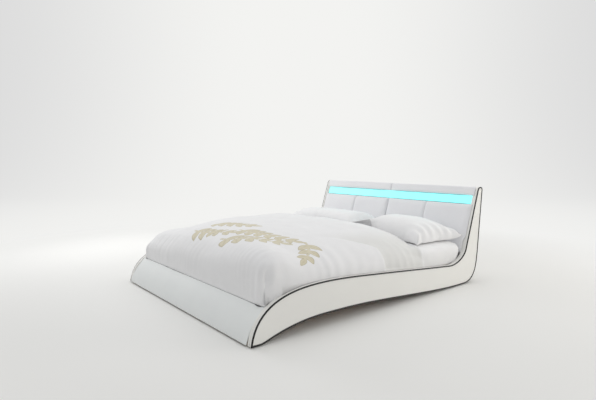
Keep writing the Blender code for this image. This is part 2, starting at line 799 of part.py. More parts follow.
inlet_height = lean_point(0, LIGHT_START)[1] - INLET_DROP
face_y, face_slope = back_face(inlet_height)
plate = bpy.data.objects.new("inlet_plate", None)
parts.objects.link(plate)
plate.location = (INLET_FROM_CENTRE, face_y, inlet_height)
plate.rotation_euler = (-face_slope, 0, 0)

housing = box(
    "inlet_housing",
    (-INLET_WIDTH / 2, -INLET_DEPTH, -INLET_HEIGHT / 2),
    (INLET_WIDTH / 2, -GAP, INLET_HEIGHT / 2),
    black_plastic,
    plate,
)
bezel_reach = INLET_LIP + INLET_BEZEL
bezel = cutter_box(
    "bezel_plate",
    (-INLET_WIDTH / 2 - bezel_reach, GAP, -INLET_HEIGHT / 2 - bezel_reach),
    (INLET_WIDTH / 2 + bezel_reach, INLET_LIP, INLET_HEIGHT / 2 + bezel_reach),
    plate,
)
neck = cutter_box(
    "bezel_neck",
    (-INLET_WIDTH / 2 + INLET_LIP, -INLET_LIP, -INLET_HEIGHT / 2 + INLET_LIP),
    (INLET_WIDTH / 2 - INLET_LIP, INLET_LIP / 2, INLET_HEIGHT / 2 - INLET_LIP),
    plate,
)
for piece in (neck, bezel):
    cut(housing, piece)
    housing.modifiers[-1].operation = "UNION"
socket_x = -INLET_WIDTH / 4
socket = cutter_box(
    "socket_well",
    (socket_x - SOCKET_WIDTH / 2, -SOCKET_DEPTH, -SOCKET_HEIGHT / 2),
    (socket_x + SOCKET_WIDTH / 2, INLET_LIP + OVERRUN, SOCKET_HEIGHT / 2),
    plate,
)
cut(housing, socket)
rocker_x = INLET_WIDTH / 4
well = ROCKER_RADIUS + ROCKER_ROOM
rocker_well = cutter_box(
    "rocker_well",
    (rocker_x - ROCKER_WIDTH / 2 - ROCKER_ROOM, -well, -well),
    (rocker_x + ROCKER_WIDTH / 2 + ROCKER_ROOM, INLET_LIP + OVERRUN, well),
    plate,
)
cut(housing, rocker_well)
panel_hole = cutter_box(
    "panel_hole",
    (-INLET_WIDTH / 2 - GAP, -INLET_DEPTH - OVERRUN, -INLET_HEIGHT / 2 - GAP),
    (INLET_WIDTH / 2 + GAP, INLET_LIP, INLET_HEIGHT / 2 + GAP),
    plate,
)
cut(back_panel, panel_hole)

rocker_loop = []
for step in range(13):
    angle = math.pi + step * math.pi / 12
    rocker_loop.append((ROCKER_RADIUS * math.sin(angle), ROCKER_RADIUS * math.cos(angle)))
rocker_loop += [
    (INLET_LIP + ROCKER_RIDGE, ROCKER_RADIUS * 0.94),
    (INLET_LIP, 0),
    (INLET_LIP + ROCKER_RIDGE, -ROCKER_RADIUS * 0.94),
]
rocker = extrusion(
    "switch_rocker", [rocker_loop], -ROCKER_WIDTH / 2, ROCKER_WIDTH / 2, white_plastic, plate
)
rocker.location = (rocker_x, 0, 0)
rocker.rotation_euler = (ROCKER_TILT, 0, 0)

# Supply lead from the inlet to the driver, inside the wedge.
bpy.context.view_layer.update()
plate_matrix = plate.matrix_basis
lean_matrix = lean.matrix_basis
lead_start = plate_matrix @ Vector((0, -INLET_DEPTH - GAP, 0))
lead_out = plate_matrix @ Vector((0, -INLET_DEPTH - LEAD_BOW, 0))
lead_end = lean_matrix @ Vector(
    (DRIVER_FROM_CENTRE - DRIVER_LENGTH / 2 - GAP, lead_depth, driver_low_edge + DRIVER_HEIGHT / 2)
)
lead_near = lead_end + Vector((-LEAD_BOW * 2, 0, 0))
lead_low = Vector((lead_near.x, lead_out.y, lead_out.z))
tube(
    "supply_lead",
    lead_route([lead_start, lead_out, lead_low, lead_near, lead_end]),
    LEAD_RADIUS,
    cable,
)


# Ledgers on the rails and the slats across them.
ledger_low = CROSS_RAIL_BACK + GAP
ledger_high = base_front - GAP
for side, word in ((-1, "left"), (1, "right")):
    ends = sorted((side * (RAIL_INNER - GAP), side * (RAIL_INNER - GAP - LEDGER_WIDTH)))
    box(
        f"side_ledger_{word}",
        (ends[0], ledger_low, LEDGER_TOP - LEDGER_HEIGHT),
        (ends[1], ledger_high, LEDGER_TOP),
        beech,
    )

slat_half = RAIL_INNER - SLAT_END_ROOM
slat_first = MATTRESS_FOOT + SLAT_WIDTH / 2
slat_step = (MATTRESS_LENGTH - SLAT_WIDTH) / (SLAT_COUNT - 1)
for number in range(SLAT_COUNT):
    middle = slat_first + number * slat_step
    slat = box(
        f"slat_{number + 1:02d}",
        (-slat_half, middle - SLAT_WIDTH / 2, SLAT_TOP - SLAT_THICKNESS),
        (slat_half, middle + SLAT_WIDTH / 2, SLAT_TOP),
        beech,
    )

# Centre beam, a steel tube in two hangers.
beam_top = LEDGER_TOP
beam_loops = []
for inset in (0, BEAM_WALL):
    half = BEAM_WIDTH / 2 - inset
    top = beam_top - inset
    low = beam_top - BEAM_HEIGHT + inset
    beam_loops.append([(-half, low), (half, low), (half, top), (-half, top)])


def along_bed(thing, middle):
    """Turns an extrusion that runs along X to run along Y, about its middle."""
    thing.data.transform(Matrix.Rotation(math.pi / 2, 4, "Z"))
    thing.location = (0, middle, 0)
    return thing


beam_length = ledger_high - ledger_low - 2 * GAP
beam_middle = (ledger_high + ledger_low) / 2
along_bed(
    extrusion("centre_beam", beam_loops, -beam_length / 2, beam_length / 2, steel), beam_middle
)
cradle = BEAM_WIDTH / 2 + GAP
outer = cradle + HANGER_PLATE
cradle_floor = beam_top - BEAM_HEIGHT - GAP
hanger_loop = [
    (-outer, cradle_floor - HANGER_PLATE),
    (outer, cradle_floor - HANGER_PLATE),
    (outer, beam_top - HANGER_PLATE),
    (cradle, beam_top - HANGER_PLATE),
    (cradle, cradle_floor),
    (-cradle, cradle_floor),
    (-cradle, beam_top - HANGER_PLATE),
    (-outer, beam_top - HANGER_PLATE),
]
hanger_places = (
    ("foot", ledger_low + HANGER_LENGTH / 2),
    ("head", ledger_high - HANGER_LENGTH / 2),
)
for word, middle in hanger_places:
    hanger = extrusion(
        f"beam_hanger_{word}", [hanger_loop], -HANGER_LENGTH / 2, HANGER_LENGTH / 2, steel
    )
    along_bed(hanger, middle)

# Centre legs with a blind thread for the levelling feet.
leg_top = beam_top - BEAM_HEIGHT - GAP
bore = STEM_RADIUS + STEM_ROOM
bore_top = FOOT_PAD + STEM_LENGTH + FOOT_TRAVEL + OVERRUN
leg_profile = [
    (0, leg_top),
    (LEG_FLANGE_RADIUS, leg_top),
    (LEG_FLANGE_RADIUS, leg_top - LEG_FLANGE),
    (LEG_RADIUS, leg_top - LEG_FLANGE),
    (LEG_RADIUS, LEG_FLOOR_ROOM),
    (bore, LEG_FLOOR_ROOM),
    (bore, bore_top),
    (0, bore_top),
]
pad_profile = [
    (0, FOOT_PAD + STEM_LENGTH),
    (STEM_RADIUS, FOOT_PAD + STEM_LENGTH),
    (STEM_RADIUS, FOOT_PAD),
    (FOOT_PAD_RADIUS * 0.8, FOOT_PAD),
    (FOOT_PAD_RADIUS, FOOT_PAD / 2),
    (FOOT_PAD_RADIUS, 0),
    (0, 0),
]
for word, share in zip(("front", "rear"), LEG_SHARES):
    place = (0, ledger_low + share * (ledger_high - ledger_low), 0)
    turned(f"centre_leg_{word}", leg_profile, place, steel)
    turned(f"levelling_foot_{word}", pad_profile, place, black_plastic)

# Corner brackets in the four inner corners, under the ledgers.
bracket_low = LEDGER_TOP - LEDGER_HEIGHT - BRACKET_LIFT - BRACKET_HEIGHT
for end, wall, inward in (("foot", CROSS_RAIL_BACK, 1), ("head", base_front, -1)):
    for side, word in ((-1, "left"), (1, "right")):
        corner_x = side * (RAIL_INNER - GAP)
        corner_y = wall + inward * GAP
        upright = bmesh.new()
        loop = [
            (0, 0),
            (BRACKET_LEG, 0),
            (BRACKET_LEG, BRACKET_PLATE),
            (BRACKET_PLATE, BRACKET_PLATE),
            (BRACKET_PLATE, BRACKET_LEG),
            (0, BRACKET_LEG),
        ]
        verts = [
            upright.verts.new((corner_x - side * a, corner_y + inward * b, bracket_low))
            for a, b in loop
        ]
        face = upright.faces.new(verts)
        made = bmesh.ops.extrude_face_region(upright, geom=[face], use_keep_orig=True)
        raised = [v for v in made["geom"] if isinstance(v, bmesh.types.BMVert)]
        bmesh.ops.translate(upright, vec=(0, 0, BRACKET_HEIGHT), verts=raised)
        bmesh.ops.recalc_face_normals(upright, faces=upright.faces)
        mesh = bpy.data.meshes.new("corner_bracket")
        upright.to_mesh(mesh)
        upright.free()
        keep(f"corner_bracket_{end}_{word}", mesh, steel)


# Mattress.
mattress_low = SLAT_TOP + GAP
mattress_top = mattress_low + MATTRESS_HEIGHT
rounded(
    box(
        "mattress",
        (-MATTRESS_WIDTH / 2, MATTRESS_FOOT, mattress_low),
        (MATTRESS_WIDTH / 2, MATTRESS_HEAD, mattress_top),
        sheet_cotton,
    ),
    MATTRESS_EDGE,
    segments=4,
)

# Duvet: a high soft dome over the mattress, with a hem inside the rails and on the foot panel.
duvet_half = RAIL_INNER - DUVET_ROOM
duvet_front = panel_path[-2][0] + DUVET_FOOT_ROOM
duvet_head = MATTRESS_HEAD - PILLOW_HEAD_ROOM - PILLOW_DEPTH - PILLOW_FOOT_ROOM
duvet_hem = PANEL_TOP + DUVET_HEM_ROOM
duvet_length = duvet_head - duvet_front
FALL_SHARES = (0.41, -0.13)
ARCH_POWER = 1.77
FALL_POWERS = (2.6, 3.0)


def dome(across, along):
    """Height of the duvet's top: an arch across the bed that falls away at the foot."""
    arch_share = max(0.0, 1 - abs(across) ** ARCH_POWER) ** (1 / ARCH_POWER)
    fall_length = (FALL_SHARES[0] + FALL_SHARES[1] * across**2) * duvet_length
    fall_share = min(1.0, max(0.0, 1 - along / fall_length))
    power = FALL_POWERS[0] + FALL_POWERS[1] * across**2
    foot_share = (1 - fall_share**power) ** (1 / power)
    return mattress_top - DUVET_DROP + (DUVET_DROP + DUVET_RISE) * arch_share * foot_share


def duvet_form(u, v, top):
    across = math.sin(u * math.pi / 2)
    along_share = (v + 1) / 2
    along_share = along_share**1.8 * (1 - 0.25 * along_share) / 0.75
    x = duvet_half * across
    y = duvet_front + duvet_length * along_share
    if not top:
        return Vector((x, y, duvet_hem))
    z = dome(across, duvet_length * along_share)
    ripple = math.sin(math.pi * FOLD_COUNT * u) * math.exp(-8 * along_share)
    if v > -1:
        z += FOLD_DEPTH * ripple * (1 - across**4)
    else:
        y += FOLD_DEPTH * (1 + ripple) / 2 * (1 - across**4)
    return Vector((x, y, z))


duvet = padded("duvet", 30, 24, duvet_form, duvet_cotton)
room_half = MATTRESS_WIDTH / 2 + DUVET_LINING
past = MATTRESS_EDGE + OVERRUN
hollow = rounded(
    box(
        "mattress_room",
        (-room_half, MATTRESS_FOOT - DUVET_LINING, duvet_hem - past),
        (room_half, duvet_head + past, mattress_top + GAP),
        plywood,
    ),
    MATTRESS_EDGE,
    segments=4,
)
cut(duvet, hollow)


# Pillows: crowned, drawn in at their sides, flat where they lie on the mattress.
def pillow(name, middle_x):
    middle_y = MATTRESS_HEAD - PILLOW_HEAD_ROOM - PILLOW_DEPTH / 2
    floor = mattress_top + GAP

    def form(u, v, top):
        across = math.sin(u * math.pi / 2)
        along = math.sin(v * math.pi / 2)
        draw = 1 - 0.05 * (1 - along**2)
        tuck = 1 - 0.08 * (1 - across**2)
        x = middle_x + across * draw * PILLOW_LENGTH / 2
        y = middle_y + along * tuck * PILLOW_DEPTH / 2
        swell = ((1 - abs(across) ** 3) * (1 - abs(along) ** 2.6)) ** 0.6
        if top:
            return Vector((x, y, floor + PILLOW_RIM + (PILLOW_HEIGHT - PILLOW_RIM) * swell))
        sit = min(1.0, 3 * ((1 - abs(across) ** 6) * (1 - abs(along) ** 6)))
        return Vector((x, y, floor + PILLOW_RIM * 0.97 * (1 - sit)))

    return padded(name, 16, 12, form, sheet_cotton)


pillow_side = (PILLOW_LENGTH + PILLOW_PART) / 2
pillow("pillow_left", -pillow_side - PILLOW_SHIFT)
pillow("pillow_right", pillow_side - PILLOW_SHIFT)
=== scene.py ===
"""A white leather double bed: two S-shaped side rails, a lit headboard, and its bedding."""

import json
import math

import bmesh
import bpy
import numpy as np
from mathutils import Matrix, Vector, geometry, noise


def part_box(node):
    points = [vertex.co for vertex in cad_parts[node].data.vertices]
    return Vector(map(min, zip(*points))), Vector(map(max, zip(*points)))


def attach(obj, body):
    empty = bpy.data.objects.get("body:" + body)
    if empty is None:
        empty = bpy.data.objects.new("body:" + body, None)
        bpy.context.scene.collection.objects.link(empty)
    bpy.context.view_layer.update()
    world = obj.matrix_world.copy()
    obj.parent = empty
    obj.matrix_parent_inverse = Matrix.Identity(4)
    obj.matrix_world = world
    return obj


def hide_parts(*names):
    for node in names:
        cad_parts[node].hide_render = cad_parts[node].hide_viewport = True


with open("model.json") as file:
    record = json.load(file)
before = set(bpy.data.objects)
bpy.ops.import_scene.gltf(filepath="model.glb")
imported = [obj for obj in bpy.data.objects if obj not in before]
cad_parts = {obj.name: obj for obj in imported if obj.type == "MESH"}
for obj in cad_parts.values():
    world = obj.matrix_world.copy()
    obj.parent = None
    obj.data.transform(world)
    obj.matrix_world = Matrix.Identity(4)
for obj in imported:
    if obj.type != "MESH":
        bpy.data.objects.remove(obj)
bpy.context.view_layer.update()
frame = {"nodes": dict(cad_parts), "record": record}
nodes = frame["nodes"]


def only(thing):
    """Makes this object the only selected one, and active."""
    bpy.ops.object.select_all(action="DESELECT")
    thing.hide_set(False)
    thing.select_set(True)
    bpy.context.view_layer.objects.active = thing


# Camera: about 1.1 m high at the right front corner, where the bed is seen from its foot. It looks down by
# 4.9 degrees.
CAMERA_PLACE = (3.22515, -2.73543, 1.10646)
CAMERA_DOWN = 0.084684
CAMERA_TURN = 0.885401
bpy.ops.object.select_all(action="DESELECT")
bpy.ops.object.camera_add(location=CAMERA_PLACE, rotation=(math.pi / 2 - CAMERA_DOWN, 0, CAMERA_TURN))
camera = bpy.context.object
camera.data.lens = 28.09
camera.data.sensor_width = 36
camera.data.clip_end = 200
bpy.context.scene.camera = camera


# Side rails: a plywood board wrapped in foam and white leather, all in one sweep from the floor at the
# foot to the top of the headboard. The leather of the face and of the edge meet in a corded seam.
# Each knot is its (y, z) in mm, the way of the line there, and its handle lengths in and out in mm.
RAIL_KNOTS = [
    ((-1272.2, 14.0), (0.152, 0.988), 5, 260),
    ((-682.2, 313.0), (1, 0), 263.1, 160.1),
    ((-216.5, 288.0), (0.9969, -0.0788), 160.1, 320.2),
    ((773.2, 206.5), (0.9969, -0.0788), 320.2, 119.8),
    ((1022.7, 319.0), (0.314, 0.9494), 67.4, 120),
    ((1192.3, 831.7), (0.314, 0.9494), 120, 22.5),
    ((1241.0, 867.2), (1, 0), 25, 20),
    ((1272.2, 832.6), (0.0, -1), 20, 5),
    ((1271.3, 822.0), (-0.0896, -0.996), 5, 177.6),
    ((1224.8, 299.9), (-0.0896, -0.996), 177.6, 157.2),
    ((1002.7, 5.0), (-1, 0), 179.7, 20),
    ((892.9, 5.0), (-1, 0), 20, 267.8),
    ((-178.2, 71.5), (-0.9978, 0.0659), 357, 174.6),
    ((-682.2, 85.5), (-1, 0), 174.6, 300),
    ((-1186.2, 5.0), (-0.985, -0.17), 45, 24),
    ((-1263.2, 5.0), (-1, 0), 24, 5),
]
RAIL_INNER = 0.952
RAIL_OUTER = 0.997
RAIL_LAP = 0.9745
LAP_DEPTH = 0.0085
OVERLAP = 0.001
FACE_SWELL = 0.003
RAIL_ROUND = 0.0055
INNER_ROUND = 0.001
PIPING_RADIUS = 0.0060
PIPING_SINK = 0.0010
POINT_SPACING = 0.004
TOE_SPACING = 0.011
TOE_END = -1.24


def colour(hexed):
    """An sRGB hex value as linear RGBA."""
    shares = [int(hexed[i : i + 2], 16) / 255 for i in (0, 2, 4)]
    return [s / 12.92 if s <= 0.04045 else ((s + 0.055) / 1.055) ** 2.4 for s in shares] + [1]


def add_node(tree, kind, inputs=None, **settings):
    """Adds a node with its settings, its values and the sockets that feed it."""
    made = tree.nodes.new(kind)
    for name, value in settings.items():
        setattr(made, name, value)
    for name, value in (inputs or {}).items():
        if isinstance(value, bpy.types.NodeSocket):
            tree.links.new(value, made.inputs[name])
        else:
            made.inputs[name].default_value = value
    return made


def mixed(tree, share, first, second):
    """The colour that a share of the second gives with the first."""
    return add_node(tree, "ShaderNodeMix", {0: share, 6: first, 7: second}, data_type="RGBA").outputs[2]


def noise_field(tree, vector, scale, detail):
    """Soft noise from 0 to 1 over the vector's places."""
    inputs = {"Vector": vector, "Scale": scale, "Detail": detail}
    return add_node(tree, "ShaderNodeTexNoise", inputs).outputs["Fac"]


def new_material(name, **shader_inputs):
    """A material with its shader's constant values; returns it with its tree, shader and place."""
    made = bpy.data.materials.new(name)
    made.use_nodes = True
    tree = made.node_tree
    shader = tree.nodes["Principled BSDF"]
    for key, value in shader_inputs.items():
        shader.inputs[key.replace("_", " ")].default_value = value
    place = add_node(tree, "ShaderNodeTexCoord").outputs["Object"]
    return made, tree, shader, place


# Corrected-grain cowhide, drum-dyed white and lightly plated: a soft sheen, pores of about 1 mm that are
# drawn at 3.5 mm to show, and slack of about 120 mm between the fixings.
def make_leather(name, light, dark, roughness):
    made, tree, shader, place = new_material(name, Specular_IOR_Level=0.42, Sheen_Weight=0.08)
    patches = noise_field(tree, place, 4.5, 3.0)
    tint = mixed(tree, patches, colour(light), colour(dark))
    pores = add_node(
        tree,
        "ShaderNodeTexVoronoi",
        {"Vector": place, "Scale": 285.0, "Randomness": 0.9},
        feature="SMOOTH_F1",
    )
    slack = noise_field(tree, place, 8.3, 2.0)
    grain = add_node(
        tree, "ShaderNodeBump", {"Height": pores.outputs["Distance"], "Strength": 0.16, "Distance": 0.0012}
    )
    relief = add_node(
        tree,
        "ShaderNodeBump",
        {"Height": slack, "Strength": 0.25, "Distance": 0.006, "Normal": grain.outputs["Normal"]},
    )
    gloss = add_node(
        tree,
        "ShaderNodeMapRange",
        {"Value": pores.outputs["Distance"], "To Min": roughness - 0.05, "To Max": roughness + 0.07},
    )
    tree.links.new(tint, shader.inputs["Base Color"])
    tree.links.new(gloss.outputs["Result"], shader.inputs["Roughness"])
    tree.links.new(relief.outputs["Normal"], shader.inputs["Normal"])
    return made


rail_leather = make_leather("white_corrected_grain_leather", "ECECE8", "E8E7E3", 0.46)

# Black vinyl piping over a cord, 12 mm thick in all: tight skin with a low shine and fine creases of 6 mm.
piping_vinyl, tree, shader, place = new_material(
    "black_vinyl_piping", Roughness=0.38, Specular_IOR_Level=0.45
)
creases = noise_field(tree, place, 165.0, 2.0)
# Darker in the hollows of the creases and lighter on their ridges.
crease_tone = mixed(tree, creases, colour("101012"), colour("1C1C1E"))
crimp = add_node(tree, "ShaderNodeBump", {"Height": creases, "Strength": 0.3, "Distance": 0.001})
tree.links.new(crease_tone, shader.inputs["Base Color"])
tree.links.new(crimp.outputs["Normal"], shader.inputs["Normal"])


def closed_line(name, knots, x, inset=0.0):
    """A closed Bezier line in the upright plane at x, set in from its knots by inset, in metres."""
    bpy.ops.object.select_all(action="DESELECT")
    bpy.ops.curve.primitive_bezier_curve_add(
        radius=1, location=(x, 0, 0), rotation=(math.pi / 2, 0, math.pi / 2)
    )
    line = bpy.context.object
    line.name = name
    line.data.resolution_u = 18
    spline = line.data.splines[0]
    spline.bezier_points.add(len(knots) - 2)
    for point, (middle, way, pull_in, pull_out) in zip(spline.bezier_points, knots):
        along = Vector((way[0], way[1], 0)).normalized()
        inward = Vector((along.y, -along.x, 0))
        point.handle_left_type = "FREE"
        point.handle_right_type = "FREE"
        point.co = Vector((middle[0], middle[1], 0)) / 1000 + inward * inset
        point.handle_left = point.co - along * pull_in / 1000
        point.handle_right = point.co + along * pull_out / 1000
    spline.use_cyclic_u = True
    return line


def pick(piece, test, kind="FACE"):
    """In edit mode, selects only the faces or edges whose element passes the test."""
    shape = bmesh.from_edit_mesh(piece.data)
    bpy.context.tool_settings.mesh_select_mode = (False, kind == "EDGE", kind == "FACE")
    shape.select_mode = {kind}
    for element in (*shape.verts, *shape.edges, *shape.faces):
        element.select = False
    for element in shape.faces if kind == "FACE" else shape.edges:
        if test(element):
            element.select_set(True)
    shape.select_flush_mode()
    bmesh.update_edit_mesh(piece.data)


def even_shade(piece, angle=50):
    """Smooth shading that keeps broad flat faces flat."""
    only(piece)
    bpy.ops.object.shade_smooth_by_angle(angle=math.radians(angle))
    piece.modifiers.new("flat_faces", "WEIGHTED_NORMAL").keep_sharp = True
    bpy.ops.object.modifier_apply(modifier="flat_faces")


def slab(line, low, high, round_edge, toe_spacing=POINT_SPACING):
    """A closed line made into a board from x = low to x = high, with its long edges rounded."""
    only(line)
    bpy.ops.object.convert(target="MESH")
    bpy.ops.object.transform_apply()
    piece = bpy.context.object
    bpy.ops.object.mode_set(mode="EDIT")
    bpy.ops.mesh.select_all(action="SELECT")
    bpy.ops.mesh.remove_doubles(threshold=POINT_SPACING)
    pick(piece, lambda e: max(e.verts[0].co.y, e.verts[1].co.y) < TOE_END, "EDGE")
    bpy.ops.mesh.remove_doubles(threshold=toe_spacing)
    bpy.ops.mesh.select_all(action="SELECT")
    bpy.ops.mesh.edge_face_add()
    bpy.ops.mesh.extrude_region_move(TRANSFORM_OT_translate={"value": (high - low, 0, 0)})
    pick(piece, lambda e: abs(e.verts[0].co.x - e.verts[1].co.x) < 1e-5, "EDGE")
    bpy.ops.mesh.bevel(offset=round_edge, segments=3)
    bpy.ops.mesh.select_all(action="SELECT")
    bpy.ops.mesh.normals_make_consistent(inside=False)
    bpy.ops.object.mode_set(mode="OBJECT")
    return piece


def mirrored(piece, name):
    """The same piece for the other side of the bed, with its own mesh and its faces outwards."""
    only(piece)
    bpy.ops.object.duplicate()
    twin = bpy.context.object
    twin.name = name
    twin.scale = (-1, 1, 1)
    bpy.ops.object.transform_apply()
    bpy.ops.object.mode_set(mode="EDIT")
    bpy.ops.mesh.select_all(action="SELECT")
    bpy.ops.mesh.normals_make_consistent(inside=False)
    bpy.ops.object.mode_set(mode="OBJECT")
    return twin


def clothe(piece, material):
    """Gives the piece this one material."""
    piece.data.materials.clear()
    piece.data.materials.append(material)


rail_line = closed_line("rail_leather_right", RAIL_KNOTS, RAIL_LAP)
rail_right = slab(rail_line, RAIL_LAP, RAIL_OUTER - FACE_SWELL, RAIL_ROUND, TOE_SPACING)
# The foam under the face leather swells by 3 mm between the seams, in four steps of their width and rise.
FACE_STEPS = [(0.0012, 0.0016), (0.0014, 0.001), (0.0014, 0.0004), (0.001, 0.0)]
bpy.ops.object.mode_set(mode="EDIT")
pick(rail_right, lambda f: f.normal.x > 0.99 and f.calc_area() > 0.3)
for width, rise in FACE_STEPS:
    bpy.ops.mesh.inset(thickness=width, depth=rise, use_even_offset=False)
bpy.ops.object.mode_set(mode="OBJECT")
clothe(rail_right, rail_leather)
even_shade(rail_right)
rail_left = mirrored(rail_right, "rail_leather_left")
for piece, side in ((rail_right, "right"), (rail_left, "left")):
    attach(piece, "frame")
    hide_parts(f"side_rail_cover_{side}")
# The inner half of each rail stands 8.5 mm lower, so that the panel, the bedding and the cushions lap over
# it and only the outer half shows beside them.
inner_line = closed_line("rail_inner_half_right", RAIL_KNOTS, RAIL_INNER, LAP_DEPTH)
inner_right = slab(inner_line, RAIL_INNER, RAIL_LAP + OVERLAP, INNER_ROUND)
clothe(inner_right, rail_leather)
even_shade(inner_right)
inner_left = mirrored(inner_right, "rail_inner_half_left")
for piece in (inner_right, inner_left):
    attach(piece, "frame")

piping_x = RAIL_OUTER - PIPING_SINK
piping_right = closed_line("corded_piping_right", RAIL_KNOTS, piping_x, PIPING_RADIUS + PIPING_SINK)
piping_right.data.bevel_depth = PIPING_RADIUS
piping_right.data.bevel_resolution = 2
only(piping_right)
bpy.ops.object.convert(target="MESH")
bpy.ops.object.transform_apply()
clothe(piping_right, piping_vinyl)
bpy.ops.object.shade_smooth()
piping_left = mirrored(piping_right, "corded_piping_left")
for piece, side in ((piping_right, "right"), (piping_left, "left")):
    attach(piece, "frame")
    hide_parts(f"piping_{side}")


# Boards: birch plywood, veneers of 1.4 mm, sawn and sanded, bare on the hidden sides. Face grain runs
# along the bed, and the plies show as fine light and dark lines on the cut edges.
plywood, tree, shader, place = new_material("sanded_birch_plywood", Roughness=0.62)
stretched = add_node(tree, "ShaderNodeMapping", {"Vector": place, "Scale": (22.0, 1.6, 22.0)})
figure = noise_field(tree, stretched.outputs[0], 1.0, 5.0)
plies = add_node(
    tree,
    "ShaderNodeTexWave",
    {"Vector": place, "Scale": 110.0, "Distortion": 1.2, "Detail": 2.0},
    bands_direction="Z",
)
veneer = mixed(tree, figure, colour("DCC49B"), colour("C4A678"))
edge = mixed(tree, plies.outputs["Fac"], veneer, colour("B8966A"))
sawn = add_node(tree, "ShaderNodeBump", {"Height": figure, "Strength": 0.25, "Distance": 0.001})
tree.links.new(edge, shader.inputs["Base Color"])
tree.links.new(sawn.outputs["Normal"], shader.inputs["Normal"])

# Slats and ledgers: steamed beech, planed and lacquered thin, with short dark flecks along the grain, which
# runs with each slat.
beech, tree, shader, place = new_material(
    "lacquered_steamed_beech", Roughness=0.45, Coat_Weight=0.15, Coat_Roughness=0.3
)
along_slat = add_node(tree, "ShaderNodeMapping", {"Vector": place, "Scale": (2.2, 34.0, 34.0)})
growth = noise_field(tree, along_slat.outputs[0], 1.0, 5.0)
fleck_run = add_node(tree, "ShaderNodeMapping", {"Vector": place, "Scale": (90.0, 620.0, 620.0)})
flecks = noise_field(tree, fleck_run.outputs[0], 1.0, 1.0)
fleck_share = add_node(
    tree, "ShaderNodeMapRange", {"Value": flecks, "From Min": 0.62, "From Max": 0.72, "To Max": 0.5}
)
heart = mixed(tree, growth, colour("E2BD94"), colour("C99A6C"))
flecked = mixed(tree, fleck_share.outputs["Result"], heart, colour("8A5E3C"))
planed = add_node(tree, "ShaderNodeBump", {"Height": growth, "Strength": 0.2, "Distance": 0.0008})
tree.links.new(flecked, shader.inputs["Base Color"])
tree.links.new(planed.outputs["Normal"], shader.inputs["Normal"])

# Beam, brackets, hangers and legs: mild steel under grey powder coat, with its fine orange peel of 2 mm.
steel, tree, shader, place = new_material("grey_powder_coated_steel", Roughness=0.42)
peel = noise_field(tree, place, 480.0, 1.5)
coat = mixed(tree, peel, colour("8B8E92"), colour("9A9DA1"))
skin = add_node(tree, "ShaderNodeBump", {"Height": peel, "Strength": 0.3, "Distance": 0.0008})
tree.links.new(coat, shader.inputs["Base Color"])
tree.links.new(skin.outputs["Normal"], shader.inputs["Normal"])

# Light channel: extruded aluminium, satin anodised, with faint drawing lines along its length.
aluminium, tree, shader, place = new_material("satin_anodised_aluminium", Metallic=1.0, Anisotropic=0.4)
drawn = add_node(tree, "ShaderNodeMapping", {"Vector": place, "Scale": (3.0, 900.0, 900.0)})
lines = noise_field(tree, drawn.outputs[0], 1.0, 2.0)
satin = add_node(tree, "ShaderNodeMapRange", {"Value": lines, "To Min": 0.28, "To Max": 0.45})
metal = mixed(tree, lines, colour("C9CBCD"), colour("B6B9BC"))
tree.links.new(metal, shader.inputs["Base Color"])
tree.links.new(satin.outputs["Result"], shader.inputs["Roughness"])

# Diffuser: extruded opal acrylic with light through it, cyan and faintly uneven along its length.
opal, tree, shader, place = new_material(
    "backlit_opal_acrylic", Roughness=0.35, Base_Color=colour("142A2C"), Emission_Strength=1.5
)
spread = noise_field(tree, place, 6.0, 1.0)
glow = mixed(tree, spread, colour("84F6F8"), colour("8CFAFC"))
tree.links.new(glow, shader.inputs["Emission Color"])

# Light tape: a white printed circuit strip with a diode every 33 mm.
tape, tree, shader, place = new_material("white_circuit_tape", Roughness=0.5)
cells = add_node(tree, "ShaderNodeTexWave", {"Vector": place, "Scale": 9.5}, bands_direction="X")
diode = add_node(
    tree, "ShaderNodeMapRange", {"Value": cells.outputs["Fac"], "From Min": 0.86, "From Max": 0.9}
)
printed = mixed(tree, diode.outputs["Result"], colour("EFEFEA"), colour("E8D98A"))
tree.links.new(printed, shader.inputs["Base Color"])


# Small plastic parts: glides, inlet and rocker in black ABS, driver box in white ABS, both moulded with a
# spark-eroded texture whose 0.5 mm grain is drawn at 1.2 mm.
def make_plastic(name, light, dark, roughness):
    made, tree, shader, place = new_material(name, Roughness=roughness, Specular_IOR_Level=0.5)
    erosion = noise_field(tree, place, 830.0, 2.0)
    tone = mixed(tree, erosion, colour(light), colour(dark))
    texture = add_node(tree, "ShaderNodeBump", {"Height": erosion, "Strength": 0.25, "Distance": 0.0005})
    tree.links.new(tone, shader.inputs["Base Color"])
    tree.links.new(texture.outputs["Normal"], shader.inputs["Normal"])
    return made


black_plastic = make_plastic("black_moulded_abs", "1B1B1D", "242427", 0.42)
white_plastic = make_plastic("white_moulded_abs", "EDEDEA", "E2E2DF", 0.4)
cable = make_plastic("grey_pvc_cable_sheath", "4A4B4E", "55565A", 0.5)

FINISHES = {
    "plywood": plywood,
    "beech": beech,
    "grey_steel": steel,
    "aluminium": aluminium,
    "opal_light": opal,
    "light_tape": tape,
    "black_plastic": black_plastic,
    "white_plastic": white_plastic,
    "cable_sheath": cable,
}
for subpart in frame["record"]["subparts"]:
    if subpart["material_slot"] in FINISHES:
        clothe(nodes[subpart["node"]], FINISHES[subpart["material_slot"]])
